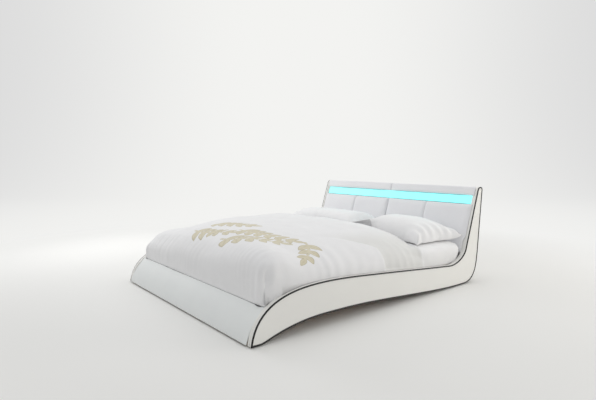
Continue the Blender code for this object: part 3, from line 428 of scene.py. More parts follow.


# Foot panel: a bent board in the same leather between the rails, drawn in a cooler copy as painted shade.
# It stands about 9 mm proud of their edges at its foot, and its upper end is turned level as the ledge on
# which the duvet's hem rests.
INSIDE = 0.9517
PANEL_KNOTS = [
    ((-1281.5, 14.5), (0.21, 0.978), 5, 76),
    ((-1157.0, 203.6), (0.70, 0.714), 70, 6),
    ((-1144.0, 212.0), (1, 0), 8, 20),
    ((-1060.0, 212.0), (1, 0), 20, 2),
    ((-1057.0, 209.0), (0, -1), 2, 2),
    ((-1060.0, 200.2), (-1, 0), 2, 20),
    ((-1140.0, 200.2), (-1, 0), 20, 8),
    ((-1149.0, 195.0), (-0.70, -0.714), 6, 68),
    ((-1269.9, 14.5), (-0.21, -0.978), 76, 2),
]
PANEL_END = 0.9560
PANEL_ROUND = 0.005
FOOT_SEAM = 0.0040
FOOT_EDGE_ROUND = 0.0015
FOOT_PART_MIDDLE = (0.965, -1.2125, 0.125)
FOOT_PART_SIZE = (0.1, 0.165, 0.3)
# Painted shade: the panel's copy of the rails' leather is tinted cooler to stand for the light it gets.
panel_leather = make_leather("panel_leather_in_painted_cool_shade", "E9ECEB", "E2E5E5", 0.46)
panel_line = closed_line("foot_panel_leather", PANEL_KNOTS, -PANEL_END)
foot_panel = slab(panel_line, -PANEL_END, PANEL_END, PANEL_ROUND)
for inner in (inner_right, inner_left):
    notch = foot_panel.modifiers.new("lap_notch", "BOOLEAN")
    notch.object = inner
    notch.solver = "EXACT"
    only(foot_panel)
    bpy.ops.object.modifier_apply(modifier="lap_notch")
clothe(foot_panel, panel_leather)
even_shade(foot_panel)
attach(foot_panel, "frame")
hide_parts("foot_panel_cover")
# Beside the panel the rail's cover keeps its full height, and a narrow seam parts the two.
edge_line = closed_line("rail_foot_edge_right", RAIL_KNOTS, PANEL_END + FOOT_SEAM)
edge_right = slab(edge_line, PANEL_END + FOOT_SEAM, RAIL_LAP + OVERLAP, FOOT_EDGE_ROUND)
bpy.ops.mesh.primitive_cube_add(size=1, location=FOOT_PART_MIDDLE)
foot_part = bpy.context.object
foot_part.scale = FOOT_PART_SIZE
bpy.ops.object.transform_apply()
cut = edge_right.modifiers.new("foot_part_only", "BOOLEAN")
cut.operation = "INTERSECT"
cut.object = foot_part
cut.solver = "EXACT"
only(edge_right)
bpy.ops.object.modifier_apply(modifier="foot_part_only")
bpy.data.objects.remove(foot_part)
clothe(edge_right, rail_leather)
even_shade(edge_right)
edge_left = mirrored(edge_right, "rail_foot_edge_left")
for piece in (edge_right, edge_left):
    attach(piece, "frame")


# Back panel: a thin board in leather along the rails' rear edge, with a hole for the power inlet.
BACK_KNOTS = [
    ((1269.3, 822.0), (-0.0896, -0.996), 3, 170),
    ((1222.8, 300.0), (-0.0896, -0.996), 170, 71),
    ((1174.0, 94.5), (-0.41, -0.912), 71, 3),
    ((1164.8, 98.6), (0.41, 0.912), 3, 68),
    ((1212.8, 301.0), (0.0896, 0.996), 68, 170),
    ((1259.3, 823.0), (0.0896, 0.996), 170, 3),
]
BACK_ROUND = 0.002
HOLE_LAP = 0.003
HOLE_DEPTH = 0.08
back_panel = slab(closed_line("back_panel_leather", BACK_KNOTS, -INSIDE), -INSIDE, INSIDE, BACK_ROUND)
inlet_low, inlet_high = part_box("inlet_housing")
bpy.ops.object.select_all(action="DESELECT")
bpy.ops.mesh.primitive_cube_add(size=1, location=(inlet_low + inlet_high) / 2)
hole = bpy.context.object
hole.scale = (inlet_high.x - inlet_low.x - HOLE_LAP, HOLE_DEPTH, inlet_high.z - inlet_low.z - HOLE_LAP)
opening = back_panel.modifiers.new("inlet_hole", "BOOLEAN")
opening.object = hole
only(back_panel)
bpy.ops.object.modifier_apply(modifier="inlet_hole")
bpy.data.objects.remove(hole)
clothe(back_panel, rail_leather)
even_shade(back_panel)
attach(back_panel, "frame")
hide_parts("headboard_back_panel")


# Headboard cushions: foam in soft leather, held to the leaning board. Each lower one has a sewn channel
# down its middle, and each upper one turns over the board's top edge. Their foam swells the leather.
LEAN_ANGLE = -18.3
LEAN = Matrix.Translation((0, 1.0227, 0.319)) @ Matrix.Rotation(math.radians(LEAN_ANGLE), 4, "X")
CUSHION_WIDTH = 0.9720
LOWER_LOW = -0.042
LOWER_HIGH = 0.4150
UPPER_LOW = 0.4958
UPPER_HIGH = 0.585
CUSHION_BACK = 0.0428
CUSHION_ROUND = 0.007
RIM_GAP = 0.0005
PUFF_DEPTH = 0.030
CHANNEL_X = 0.4766
CHANNEL_WIDTH = 0.016
STITCH_WIDTH = 0.0045
TURN_DEPTH = 0.019
TURN_REACH = 0.0245
TURN_RADIUS = 0.021

cushion_leather = make_leather("soft_white_nappa_leather", "EDEDEF", "E5E5E8", 0.5)


def rows_of(mesh):
    """The mesh's points as an array of rows."""
    flat = np.empty(len(mesh.vertices) * 3, np.float32)
    mesh.vertices.foreach_get("co", flat)
    return flat.reshape(-1, 3)


def points_of(piece):
    """The piece's points as an array of rows, in double precision."""
    return rows_of(piece.data).astype(float)


def set_points(piece, rows):
    """Puts the piece's points at these rows."""
    piece.data.vertices.foreach_set("co", np.asarray(rows, np.float32).ravel())
    piece.data.update()


def inflated(piece, pressure, frames, **stiffness):
    """The piece's points after cloth under inner pressure has moved for this many frames."""
    cloth = piece.modifiers.new("filling", "CLOTH")
    cloth.settings.use_pressure = True
    cloth.settings.uniform_pressure_force = pressure
    cloth.settings.effector_weights.gravity = 0
    for name, value in stiffness.items():
        setattr(cloth.settings, name, value)
    cloth.point_cache.frame_start = 1
    cloth.point_cache.frame_end = frames
    for frame_number in range(1, frames + 1):
        bpy.context.scene.frame_set(frame_number)
    graph = bpy.context.evaluated_depsgraph_get()
    rows = rows_of(piece.evaluated_get(graph).to_mesh())
    piece.evaluated_get(graph).to_mesh_clear()
    piece.modifiers.remove(cloth)
    bpy.context.scene.frame_set(1)
    return rows


def swell(pad, voxel, pressure, cap, frames=20):
    """Stuffs a closed pad: an even remesh, cloth under pressure, and no point moved more than the cap."""
    only(pad)
    even = pad.modifiers.new("even_mesh", "REMESH")
    even.mode = "VOXEL"
    even.voxel_size = voxel
    bpy.ops.object.modifier_apply(modifier="even_mesh")
    start = rows_of(pad.data)
    moved = inflated(pad, pressure, frames) - start
    length = np.linalg.norm(moved, axis=1, keepdims=True)
    set_points(pad, start + moved * np.minimum(1, cap / np.maximum(length, 1e-9)))


def box_at(name, low, high):
    """A box between two corners, in the leaning board's own axes or the bed's."""
    bpy.ops.object.select_all(action="DESELECT")
    bpy.ops.mesh.primitive_cube_add(size=1)
    made = bpy.context.object
    made.name = name
    made.scale = [h - l for l, h in zip(low, high)]
    made.location = [(h + l) / 2 for l, h in zip(low, high)]
    bpy.ops.object.transform_apply()
    return made


def bevelled(piece, width, segments):
    """Rounds all edges of the piece."""
    only(piece)
    bpy.ops.object.mode_set(mode="EDIT")
    bpy.ops.mesh.select_all(action="SELECT")
    bpy.ops.mesh.bevel(offset=width, segments=segments)
    bpy.ops.object.mode_set(mode="OBJECT")


def fit_to(rows, low, high):
    """Stretches points to fill a box exactly."""
    low, high = np.array(low), np.array(high)
    return low + (rows - rows.min(0)) / (rows.max(0) - rows.min(0)) * (high - low)


def lap_rim(rows, start, end):
    """Draws a cushion's outer end in behind its face, which alone laps over the rail above the start."""
    inside = INSIDE - RIM_GAP
    reach = np.where(rows[:, 1] > LAP_DEPTH - OVERLAP, inside, RAIL_LAP - OVERLAP)
    low_reach = inside + (RAIL_LAP - INSIDE) * np.clip((rows[:, 2] - start) / (end - start), 0, 1)
    rows[:, 0] = np.minimum(rows[:, 0], np.minimum(reach, low_reach))


def hollow(places, width):
    """1 on a seam and 0 well beside it, for arrays of distances across it."""
    return np.exp(-((places / width) ** 2))


lower = box_at(
    "lower_cushion_right",
    (0.002, 0.004, LOWER_LOW + 0.002),
    (CUSHION_WIDTH, CUSHION_BACK - 0.002, LOWER_HIGH - 0.002),
)
bevelled(lower, CUSHION_ROUND, 3)
swell(lower, 0.007, 4.5, 0.010)
fine = lower.modifiers.new("finer_leather", "SUBSURF")
fine.levels = fine.render_levels = 1
only(lower)
bpy.ops.object.modifier_apply(modifier="finer_leather")
rows = fit_to(points_of(lower), (0.0008, -0.009, LOWER_LOW), (CUSHION_WIDTH + 0.001, 0.0425, LOWER_HIGH))
front_share = np.clip((PUFF_DEPTH - rows[:, 1]) / PUFF_DEPTH, 0, 1)
sewn = hollow(rows[:, 0] - CHANNEL_X, CHANNEL_WIDTH)
stitch = hollow(rows[:, 0] - CHANNEL_X, STITCH_WIDTH)
rows[:, 1] += front_share * (0.008 * sewn + 0.007 * stitch)
rows[:, 1] += front_share * 0.007 * hollow(rows[:, 0], 0.009)
lap_rim(rows, 0.07, 0.12)
set_points(lower, rows)
lower.data.transform(LEAN)
clothe(lower, cushion_leather)
only(lower)
bpy.ops.object.shade_smooth()
lower_left = mirrored(lower, "lower_cushion_left")

upper = box_at(
    "upper_cushion_right",
    (0.003, 0.0035, UPPER_LOW + 0.003),
    (CUSHION_WIDTH - 0.001, CUSHION_BACK, UPPER_HIGH - 0.003),
)
bpy.ops.object.mode_set(mode="EDIT")
bpy.ops.mesh.select_all(action="SELECT")
bpy.ops.mesh.bisect(plane_co=(0, 0, UPPER_HIGH - TURN_DEPTH), plane_no=(0, 0, 1))
pick(upper, lambda f: f.normal.y > 0.9 and f.calc_center_median().z > UPPER_HIGH - TURN_DEPTH)
bpy.ops.mesh.extrude_region_move(TRANSFORM_OT_translate={"value": (0, TURN_REACH, 0)})
pick(upper, lambda e: all(v.co.y < 0.004 and v.co.z > UPPER_HIGH - 0.004 for v in e.verts), "EDGE")
bpy.ops.mesh.bevel(offset=TURN_RADIUS, segments=6)
bpy.ops.object.mode_set(mode="OBJECT")
swell(upper, 0.006, 4, 0.005)
rows = fit_to(points_of(upper), (0.0008, 0.0, UPPER_LOW), (CUSHION_WIDTH + 0.001, 0.0705, UPPER_HIGH))
front_share = np.clip((PUFF_DEPTH - rows[:, 1]) / PUFF_DEPTH, 0, 1)
rows[:, 1] += front_share * 0.009 * hollow(rows[:, 0], 0.008)
lap_rim(rows, 0.0, 0.1)
set_points(upper, rows)
upper.data.transform(LEAN)
clothe(upper, cushion_leather)
only(upper)
bpy.ops.object.shade_smooth()
upper_left = mirrored(upper, "upper_cushion_left")
for piece, node_name in (
    (lower, "cushion_lower_right"),
    (lower_left, "cushion_lower_left"),
    (upper, "cushion_upper_right"),
    (upper_left, "cushion_upper_left"),
):
    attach(piece, "frame")
    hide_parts(node_name)


# Headboard lining: the same leather glued over the board behind the cushions, round its lower edge and
# down the base rail, so that no bare wood shows above the mattress or in the seams.
LINING_KNOTS = [
    ((1196.9, 703.7), (-0.314, -0.9494), 2, 100),
    ((1055.6, 276.5), (-0.314, -0.9494), 100, 10),
    ((1040.0, 250.5), (-0.85, -0.52), 8, 8),
    ((1018.0, 246.3), (-1, 0), 8, 2),
    ((1014.4, 243.0), (0, -1), 2, 30),
    ((1014.4, 110.0), (0, -1), 30, 1),
    ((1012.9, 110.0), (0, 1), 1, 30),
    ((1012.9, 244.0), (0, 1), 30, 2),
    ((1017.5, 248.0), (1, 0), 2, 8),
    ((1039.0, 252.2), (0.85, 0.52), 8, 8),
    ((1054.1, 277.0), (0.314, 0.9494), 10, 100),
    ((1195.4, 704.3), (0.314, 0.9494), 100, 2),
]
LINING_ROUND = 0.0003
lining = slab(closed_line("headboard_lining", LINING_KNOTS, -INSIDE), -INSIDE, INSIDE, LINING_ROUND)
clothe(lining, cushion_leather)
even_shade(lining)
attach(lining, "frame")


# Mattress: pocket springs and foam in a fitted percale sheet, about 1.9 by 2.0 m and 220 mm high, with round
# edges and the sheet drawn tight over them. Where the duvet leaves it bare its sides swell a little more.
MATTRESS_TOP = 0.3903
MATTRESS_BOTTOM = 0.1703
MATTRESS_HALF = 0.951
MATTRESS_FOOT = -1.010
MATTRESS_HEAD = 1.0115
CORNER_RADIUS = 0.085
TOP_RADIUS = 0.062
BOTTOM_RADIUS = 0.018
BARE_START = 0.40
BARE_RUN = 0.045
mattress_low, mattress_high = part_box("mattress")

# Percale: plain-woven combed cotton, 0.35 mm threads, drawn as a 4 mm weave to show at all, with a matt
# face and a slight nap that lightens the edges.
percale, tree, shader, place = new_material(
    "white_cotton_percale", Roughness=0.85, Specular_IOR_Level=0.25, Sheen_Weight=0.25
)
threads_x = add_node(
    tree, "ShaderNodeTexWave", {"Vector": place, "Scale": 80.0, "Distortion": 0.4}, bands_direction="X"
)
threads_y = add_node(
    tree, "ShaderNodeTexWave", {"Vector": place, "Scale": 80.0, "Distortion": 0.4}, bands_direction="Y"
)
weave = add_node(
    tree, "ShaderNodeMath", {0: threads_x.outputs["Fac"], 1: threads_y.outputs["Fac"]}, operation="MULTIPLY"
)
crumple = noise_field(tree, place, 16.0, 4.0)
cloth_tone = mixed(tree, crumple, colour("F1F1F1"), colour("EAEAEB"))
thread_bump = add_node(
    tree, "ShaderNodeBump", {"Height": weave.outputs[0], "Strength": 0.05, "Distance": 0.0006}
)
crumple_bump = add_node(
    tree,
    "ShaderNodeBump",
    {"Height": crumple, "Strength": 0.3, "Distance": 0.004, "Normal": thread_bump.outputs["Normal"]},
)
tree.links.new(cloth_tone, shader.inputs["Base Color"])
tree.links.new(crumple_bump.outputs["Normal"], shader.inputs["Normal"])

mattress = box_at("mattress_in_fitted_sheet", mattress_low, mattress_high)
bpy.ops.object.mode_set(mode="EDIT")
pick(mattress, lambda e: abs(e.verts[0].co.z - e.verts[1].co.z) > 0.1, "EDGE")
bpy.ops.mesh.bevel(offset=CORNER_RADIUS, segments=7)
pick(mattress, lambda f: f.normal.z > 0.99)
bpy.ops.mesh.bevel(offset=TOP_RADIUS, segments=7)
pick(mattress, lambda f: f.normal.z < -0.99)
bpy.ops.mesh.bevel(offset=BOTTOM_RADIUS, segments=3)
bpy.ops.object.mode_set(mode="OBJECT")
swell(mattress, 0.022, 4.0, 0.018, frames=12)
rows = fit_to(
    points_of(mattress),
    (-MATTRESS_HALF, MATTRESS_FOOT, MATTRESS_BOTTOM),
    (MATTRESS_HALF, MATTRESS_HEAD, MATTRESS_TOP + 0.001),
)
belly = 0.014 * np.sin(math.pi * np.clip((rows[:, 2] - 0.235) / 0.15, 0, 1))
bare = np.clip((rows[:, 1] - BARE_START) / BARE_RUN, 0, 1)
rows[:, 0] *= 1 - 0.016 * (1 - bare)
bulge = belly * np.clip((rows[:, 1] - 0.45) / 0.07, 0, 1)
rows[:, 0] += bulge * np.clip((rows[:, 0] / MATTRESS_HALF) ** 9, -1, 1)
rows[:, 1] += belly * np.clip(rows[:, 1] / MATTRESS_HEAD, 0, 1) ** 9
set_points(mattress, rows)
clothe(mattress, percale)
only(mattress)
bpy.ops.object.shade_smooth()
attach(mattress, "mattress")
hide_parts("mattress")


# Duvet: a thick fibre filling in a sateen cover, about 1.94 m across, domed over the mattress. Its foot end
# hangs to the panel's ledge in fine upright pleats, and its sides billow over the inner half of the rails.
DUVET_FOOT = -1.1464
DUVET_HEAD = 0.467
DUVET_HEM = 0.2145
DUVET_CROWN = 0.570
DUVET_LENGTH = DUVET_HEAD - DUVET_FOOT
DUVET_HALF = 0.948
DUVET_SPREAD = 0.024
HANG_SHARE = 0.075
TUCK_SHARE = 0.06
LEDGE_END = -1.12
DROP_LINE = -1.016
COVERED_HALF = 0.937
SHOULDER_RADIUS = 0.09
SIDE_GAP = 0.004
CLOTH_GAP = 0.002


def ramp(values, start, end):
    """0 before start and 1 after end, with a smooth rise, for arrays."""
    share = np.clip((values - start) / (end - start), 0, 1)
    return share * share * (3 - 2 * share)


def rail_top(y):
    """Height of the rails' upper line, for arrays of places along the bed."""
    line = []
    for (start, way, _, pull), (end, end_way, end_pull, _) in zip(RAIL_KNOTS[:4], RAIL_KNOTS[1:5]):
        a, b = Vector(start), Vector(end)
        leave = a + Vector(way).normalized() * pull
        arrive = b - Vector(end_way).normalized() * end_pull
        line += geometry.interpolate_bezier(a, leave, arrive, b, 30)[:-1]
    return np.interp(y, [p.x / 1000 for p in line], [p.y / 1000 for p in line])


def roughness_of(x, y, z, scale, seed):
    """Smooth noise from -1 to 1 for arrays of places."""
    flat = zip(x.ravel() * scale, y.ravel() * scale, z.ravel() * scale)
    return np.array([noise.noise(Vector(p) + Vector((seed, 0, 0))) for p in flat]).reshape(x.shape)


def closed_grid(name, top, bottom):
    """A closed pad of two grids of points with the same rim."""
    high, wide = top.shape[:2]
    index_top = np.arange(high * wide).reshape(high, wide)
    index_bottom = index_top.copy()
    inside = (slice(1, -1), slice(1, -1))
    index_bottom[inside] = high * wide + np.arange((high - 2) * (wide - 2)).reshape(high - 2, wide - 2)
    points = np.concatenate([top.reshape(-1, 3), bottom[inside].reshape(-1, 3)])
    faces = []
    for index, order in ((index_top, (0, 1, 2, 3)), (index_bottom, (3, 2, 1, 0))):
        corners = (index[:-1, :-1], index[:-1, 1:], index[1:, 1:], index[1:, :-1])
        faces.append(np.stack([corners[k].ravel() for k in order], -1))
    mesh = bpy.data.meshes.new(name)
    mesh.from_pydata(points.tolist(), [], np.concatenate(faces).tolist())
    made = bpy.data.objects.new(name, mesh)
    bpy.context.scene.collection.objects.link(made)
    return made


u = np.linspace(-1, 1, 231)
v = np.linspace(-HANG_SHARE, 1 + TUCK_SHARE, 193)
V, U = np.meshgrid(v, u, indexing="ij")
across = np.sin(U * math.pi / 2)
side = np.abs(across)
share = np.clip(V, 0, 1)
along = share**1.7 * (1 - 0.2 * share) / 0.8 * DUVET_LENGTH
hang = np.clip(1 + V / HANG_SHARE, 0, 1)
head_fall = np.clip((V - 0.985) / 0.075, 0, 1)
corner = np.clip((side - 0.95) / 0.05, 0, 1)
near_foot = np.exp(-((along / 0.20) ** 2))
tuck = np.clip((V - 1) / TUCK_SHARE, 0, 1)
y = DUVET_FOOT + along + 0.016 * corner**2 * near_foot + 0.012 * tuck
y -= 0.024 * ramp(side, 0.80, 0.97) * ramp(V, 0.75, 1.0)
bare = ramp(y, BARE_START, BARE_START + BARE_RUN)
half = DUVET_HALF + DUVET_SPREAD * ramp(y, LEDGE_END, -0.95)
x = half * across
edge = DUVET_HEM + (rail_top(y) - SIDE_GAP - DUVET_HEM) * ramp(y, LEDGE_END, -1.03)
left = ramp(-x, 0.0, 0.7)
fall_length = (0.41 - 0.13 * across**2 * (1 - left) + 0.14 * left) * DUVET_LENGTH
fall_power = 2.6 + 3 * across**2 * (1 - left) - 0.5 * left
fall = np.clip(1 - along / fall_length, 0, 1)
foot = 0.227 * hang + 0.773 * np.maximum(0, 1 - fall**fall_power) ** (1 / fall_power)
arch_power = 2.5 + 5 * near_foot - 0.2 * ramp(y, 0, 0.4) + 1.6 * left * ramp(y, -0.9, -0.3)
arch = np.maximum(0, 1 - side**arch_power) ** (1 / arch_power)
crown = DUVET_CROWN - 0.052 * np.clip((y - 0.10) / 0.36, 0, 1) ** 2
z = edge + (crown - edge) * arch * foot
mattress_half = COVERED_HALF + 0.015 * bare
slope = np.maximum(np.abs(x) - (mattress_half - CORNER_RADIUS), 0)
shoulder = MATTRESS_TOP - SHOULDER_RADIUS + np.sqrt(np.maximum(SHOULDER_RADIUS**2 - slope**2, 0))
over_mattress = (np.abs(x) < mattress_half + SIDE_GAP * (1 + bare)) & (y > DROP_LINE)
z = np.where(over_mattress & (y > -0.9), np.maximum(z, shoulder + 0.014), z)
rest = np.where(over_mattress, shoulder + 0.003, z)
z -= (z - np.maximum(edge, np.minimum(z, rest))) * head_fall**1.6
base = np.stack([x * (1 - 0.010 * tuck**2), y, z], -1)
outward = np.cross(np.gradient(base, axis=1), np.gradient(base, axis=0))
outward /= np.maximum(np.linalg.norm(outward, axis=-1, keepdims=True), 1e-9)

# The filling has settled in soft hills of 300 and 120 mm, and the cover hangs in uneven pleats at the foot,
# nipped in at its corners. Along the sides it is gathered into upright folds of 100 mm, and on each side
# the thick middle ends in a step below the pillows.
hills = 0.009 * roughness_of(x, y, z, 3.2, 3.0) + 0.003 * roughness_of(x, y, z, 8.5, 11.0)
drift = roughness_of(x, y * 0.5, z * 0.4, 3.1, 21.0)
second_drift = roughness_of(x, y * 0.5, z * 0.4, 4.3, 57.0)
pleats = np.sin(x * 66 + 6 * drift) * ramp(drift, -0.35, 0.35)
pleats += 0.7 * np.sin(x * 112 + 7 * second_drift) * ramp(second_drift, -0.3, 0.4)
run = along + 0.08 * (hang - 1)
pleat_share = np.exp(-((np.maximum(run - 0.03, 0) / 0.17) ** 2)) * (0.35 + 0.65 * hang)
side_drift = roughness_of(x * 0 + np.sign(x), y, z * 0.5, 2.6, 33.0)
side_folds = np.sin(y * 62 + 6 * side_drift) * (0.6 + 0.9 * side_drift)
side_share = ramp(side, 0.72, 0.93) * ramp(y, -1.0, -0.6)
step_line = -0.035 - 1.25 * np.maximum(0, 0.875 - np.abs(x))
step = ramp(y - step_line, -0.012, 0.016) * (1 - 0.6 * ramp(y - step_line, 0.02, 0.3))
step *= ramp(np.abs(x), 0.62, 0.84)
nip = np.exp(-(((1 - side) / 0.016) ** 2)) * np.exp(-((along / 0.035) ** 2))
puff = np.exp(-(((1 - side - 0.045) / 0.03) ** 2)) * np.exp(-((along / 0.05) ** 2))
side_puff = np.exp(-(((1 - side) / 0.03) ** 2)) * np.exp(-(((along - 0.07) / 0.04) ** 2))
lift = hills * (1 - 0.5 * pleat_share) + 0.0019 * pleats * pleat_share
lift += 0.0032 * side_folds * side_share - (0.024 - 0.013 * ramp(side, 0.80, 0.93)) * step
lift += 0.008 * puff + 0.010 * side_puff - 0.030 * nip
rim_share = np.clip((1 - np.abs(U)) / 0.02, 0, 1)
rim_share *= np.clip((1 + TUCK_SHARE - V) / 0.03, 0, 1) * ramp(V, -0.076, -0.05)
lift *= 1 - 0.85 * ramp(side, 0.90, 0.97) * ramp(y, 0.30, 0.40)
surface = base + outward * (lift * rim_share)[..., None]
inner = surface.copy()
inner[..., 0] *= 0.998
lowest = np.where(y < DROP_LINE, DUVET_HEM, edge)
inner[..., 2] = np.where(over_mattress, shoulder + CLOTH_GAP, lowest)
inner[..., 2] = np.minimum(inner[..., 2], surface[..., 2] - 0.001)
duvet = closed_grid("duvet_in_sateen_cover", surface, inner)

# Sateen: mercerised cotton with a soft lustre, printed with sprigs in a flat beige pigment ink. The 0.3 mm
# threads are drawn as a 4 mm weave.
sateen, tree, shader, place = new_material(
    "printed_cotton_sateen", Specular_IOR_Level=0.3, Sheen_Weight=0.2, Roughness=0.72
)
threads = add_node(
    tree, "ShaderNodeTexWave", {"Vector": place, "Scale": 80.0, "Distortion": 0.6}, bands_direction="X"
)
rumple = noise_field(tree, place, 11.0, 4.0)
ground = mixed(tree, rumple, colour("EDEDEE"), colour("E5E5E6"))
# Painted shade: the duvet's head end beyond the side steps takes a greyer tint, by the share below.
painted_head_shade_share = add_node(tree, "ShaderNodeAttribute", attribute_name="painted_head_shade")
cover = mixed(tree, painted_head_shade_share.outputs["Fac"], ground, colour("DFDFDD"))
ink_distance = add_node(tree, "ShaderNodeAttribute", attribute_name="ink")
outline = add_node(
    tree,
    "ShaderNodeMapRange",
    {"Value": ink_distance.outputs["Fac"], "From Min": 0.50, "From Max": 0.60, "To Min": 1.0, "To Max": 0.0},
)
ink_share = add_node(
    tree, "ShaderNodeMapRange", {"Value": ink_distance.outputs["Fac"], "From Min": 0.47, "From Max": 0.53}
)
vein_share = add_node(tree, "ShaderNodeAttribute", attribute_name="veins")
drawn = add_node(
    tree,
    "ShaderNodeMath",
    {0: vein_share.outputs["Fac"], 1: outline.outputs["Result"]},
    operation="MAXIMUM",
)
ink_tone = mixed(tree, drawn.outputs[0], colour("D3CCB4"), colour("A79A78"))
printed = mixed(tree, ink_share.outputs["Result"], cover, ink_tone)
satin_bump = add_node(
    tree, "ShaderNodeBump", {"Height": threads.outputs["Fac"], "Strength": 0.04, "Distance": 0.0006}
)
rumple_bump = add_node(
    tree,
    "ShaderNodeBump",
    {"Height": rumple, "Strength": 0.28, "Distance": 0.006, "Normal": satin_bump.outputs["Normal"]},
)
tree.links.new(printed, shader.inputs["Base Color"])
tree.links.new(rumple_bump.outputs["Normal"], shader.inputs["Normal"])
clothe(duvet, sateen)
only(duvet)
bpy.ops.object.shade_smooth()

# Print: sprigs of paired pointed leaves on curved stems that end in a leaf. Each sprig is its foot in
# metres, its heading and bend in degrees, its length in metres and its number of leaf pairs.
STEM_RADIUS = 0.022
LEAF_ANGLE = 44
LEAF_LENGTH = 0.150
TIP_LENGTH = 0.11
TIP_WIDTH = 0.05
SPRIGS = [
    (-0.40, -0.74, 0, 34, 0.44, 5),
    (-0.34, -0.96, -8, 36, 0.48, 5),
    (0.12, -0.78, -6, 36, 0.56, 6),
    (0.22, -0.99, 4, 40, 0.50, 5),
    (0.74, -0.60, -14, -36, 0.30, 3),
]


def leaf_share(x, y, foot_x, foot_y, heading, length, width):
    """0.5 on the outline of a pointed leaf, more inside, for arrays of places in plan."""
    dx, dy = x - foot_x, y - foot_y
    run = (dx * math.cos(heading) + dy * math.sin(heading)) / length
    side = (-dx * math.sin(heading) + dy * math.cos(heading)) / width
    half = 0.5 * np.maximum(0, np.sin(math.pi * np.clip(run, 0, 1) ** 0.75))
    vein = 0.4 * np.exp(-((side / 0.06) ** 2)) * ((run > 0.12) & (run < 0.85))
    return np.where((run > 0) & (run < 1), 0.5 + (half - np.abs(side)) * 0.9, 0), vein


print_x = x + 0.8 * np.sign(x) * np.maximum(0, crown - z)
ink = np.zeros_like(x)
veins = np.zeros_like(x)
for foot_x, foot_y, heading, bend, length, pairs in SPRIGS:
    turn = math.radians(heading)
    sx, sy = foot_x, foot_y
    ticks = pairs * 4
    step = length / ticks
    for tick in range(ticks + 1):
        stem = np.clip(1 - np.hypot(print_x - sx, y - sy) / STEM_RADIUS, 0, 1)
        ink = np.maximum(ink, stem * 1.1)
        shapes = []
        if tick % 4 == 2:
            size = LEAF_LENGTH * (1 - 0.35 * tick / ticks)
            for side in (-1, 1):
                shapes.append((turn + side * math.radians(LEAF_ANGLE), size, 0.50 * size))
        if tick == ticks:
            shapes.append((turn, TIP_LENGTH, TIP_WIDTH))
        for way, size, width in shapes:
            body, vein = leaf_share(print_x, y, sx, sy, way, size, width)
            ink = np.maximum(ink, body)
            veins = np.maximum(veins, vein)
        turn += math.radians(bend) / ticks
        sx += step * math.cos(turn)
        sy += step * math.sin(turn)
# Painted shade: the share of greyer tint on the head end's sides beyond the step.
painted_head_shade = ramp(y - step_line, -0.006, 0.008) * ramp(np.abs(x), 0.52, 0.86) * (1 - ramp(V, 0.99, 1.0))
for layer_name, shares in (("ink", ink), ("veins", veins), ("painted_head_shade", painted_head_shade)):
    values = np.zeros(len(duvet.data.vertices), np.float32)
    values[: shares.size] = np.clip(shares, 0, 1).ravel()
    layer = duvet.data.attributes.new(layer_name, "FLOAT", "POINT")
    layer.data.foreach_set("value", values)
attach(duvet, "duvet")
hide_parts("duvet")


# Pillows: fibre-filled, about 1.0 by 0.5 m, in percale cases sewn on all four sides. The filling swells
# the middle, and the case puckers along the seams and draws in between its corners.
CASE_SIZE = (1.02, 0.60, 1)
CASE_THICKNESS = 0.012
PILLOW_SEAT = 0.3916


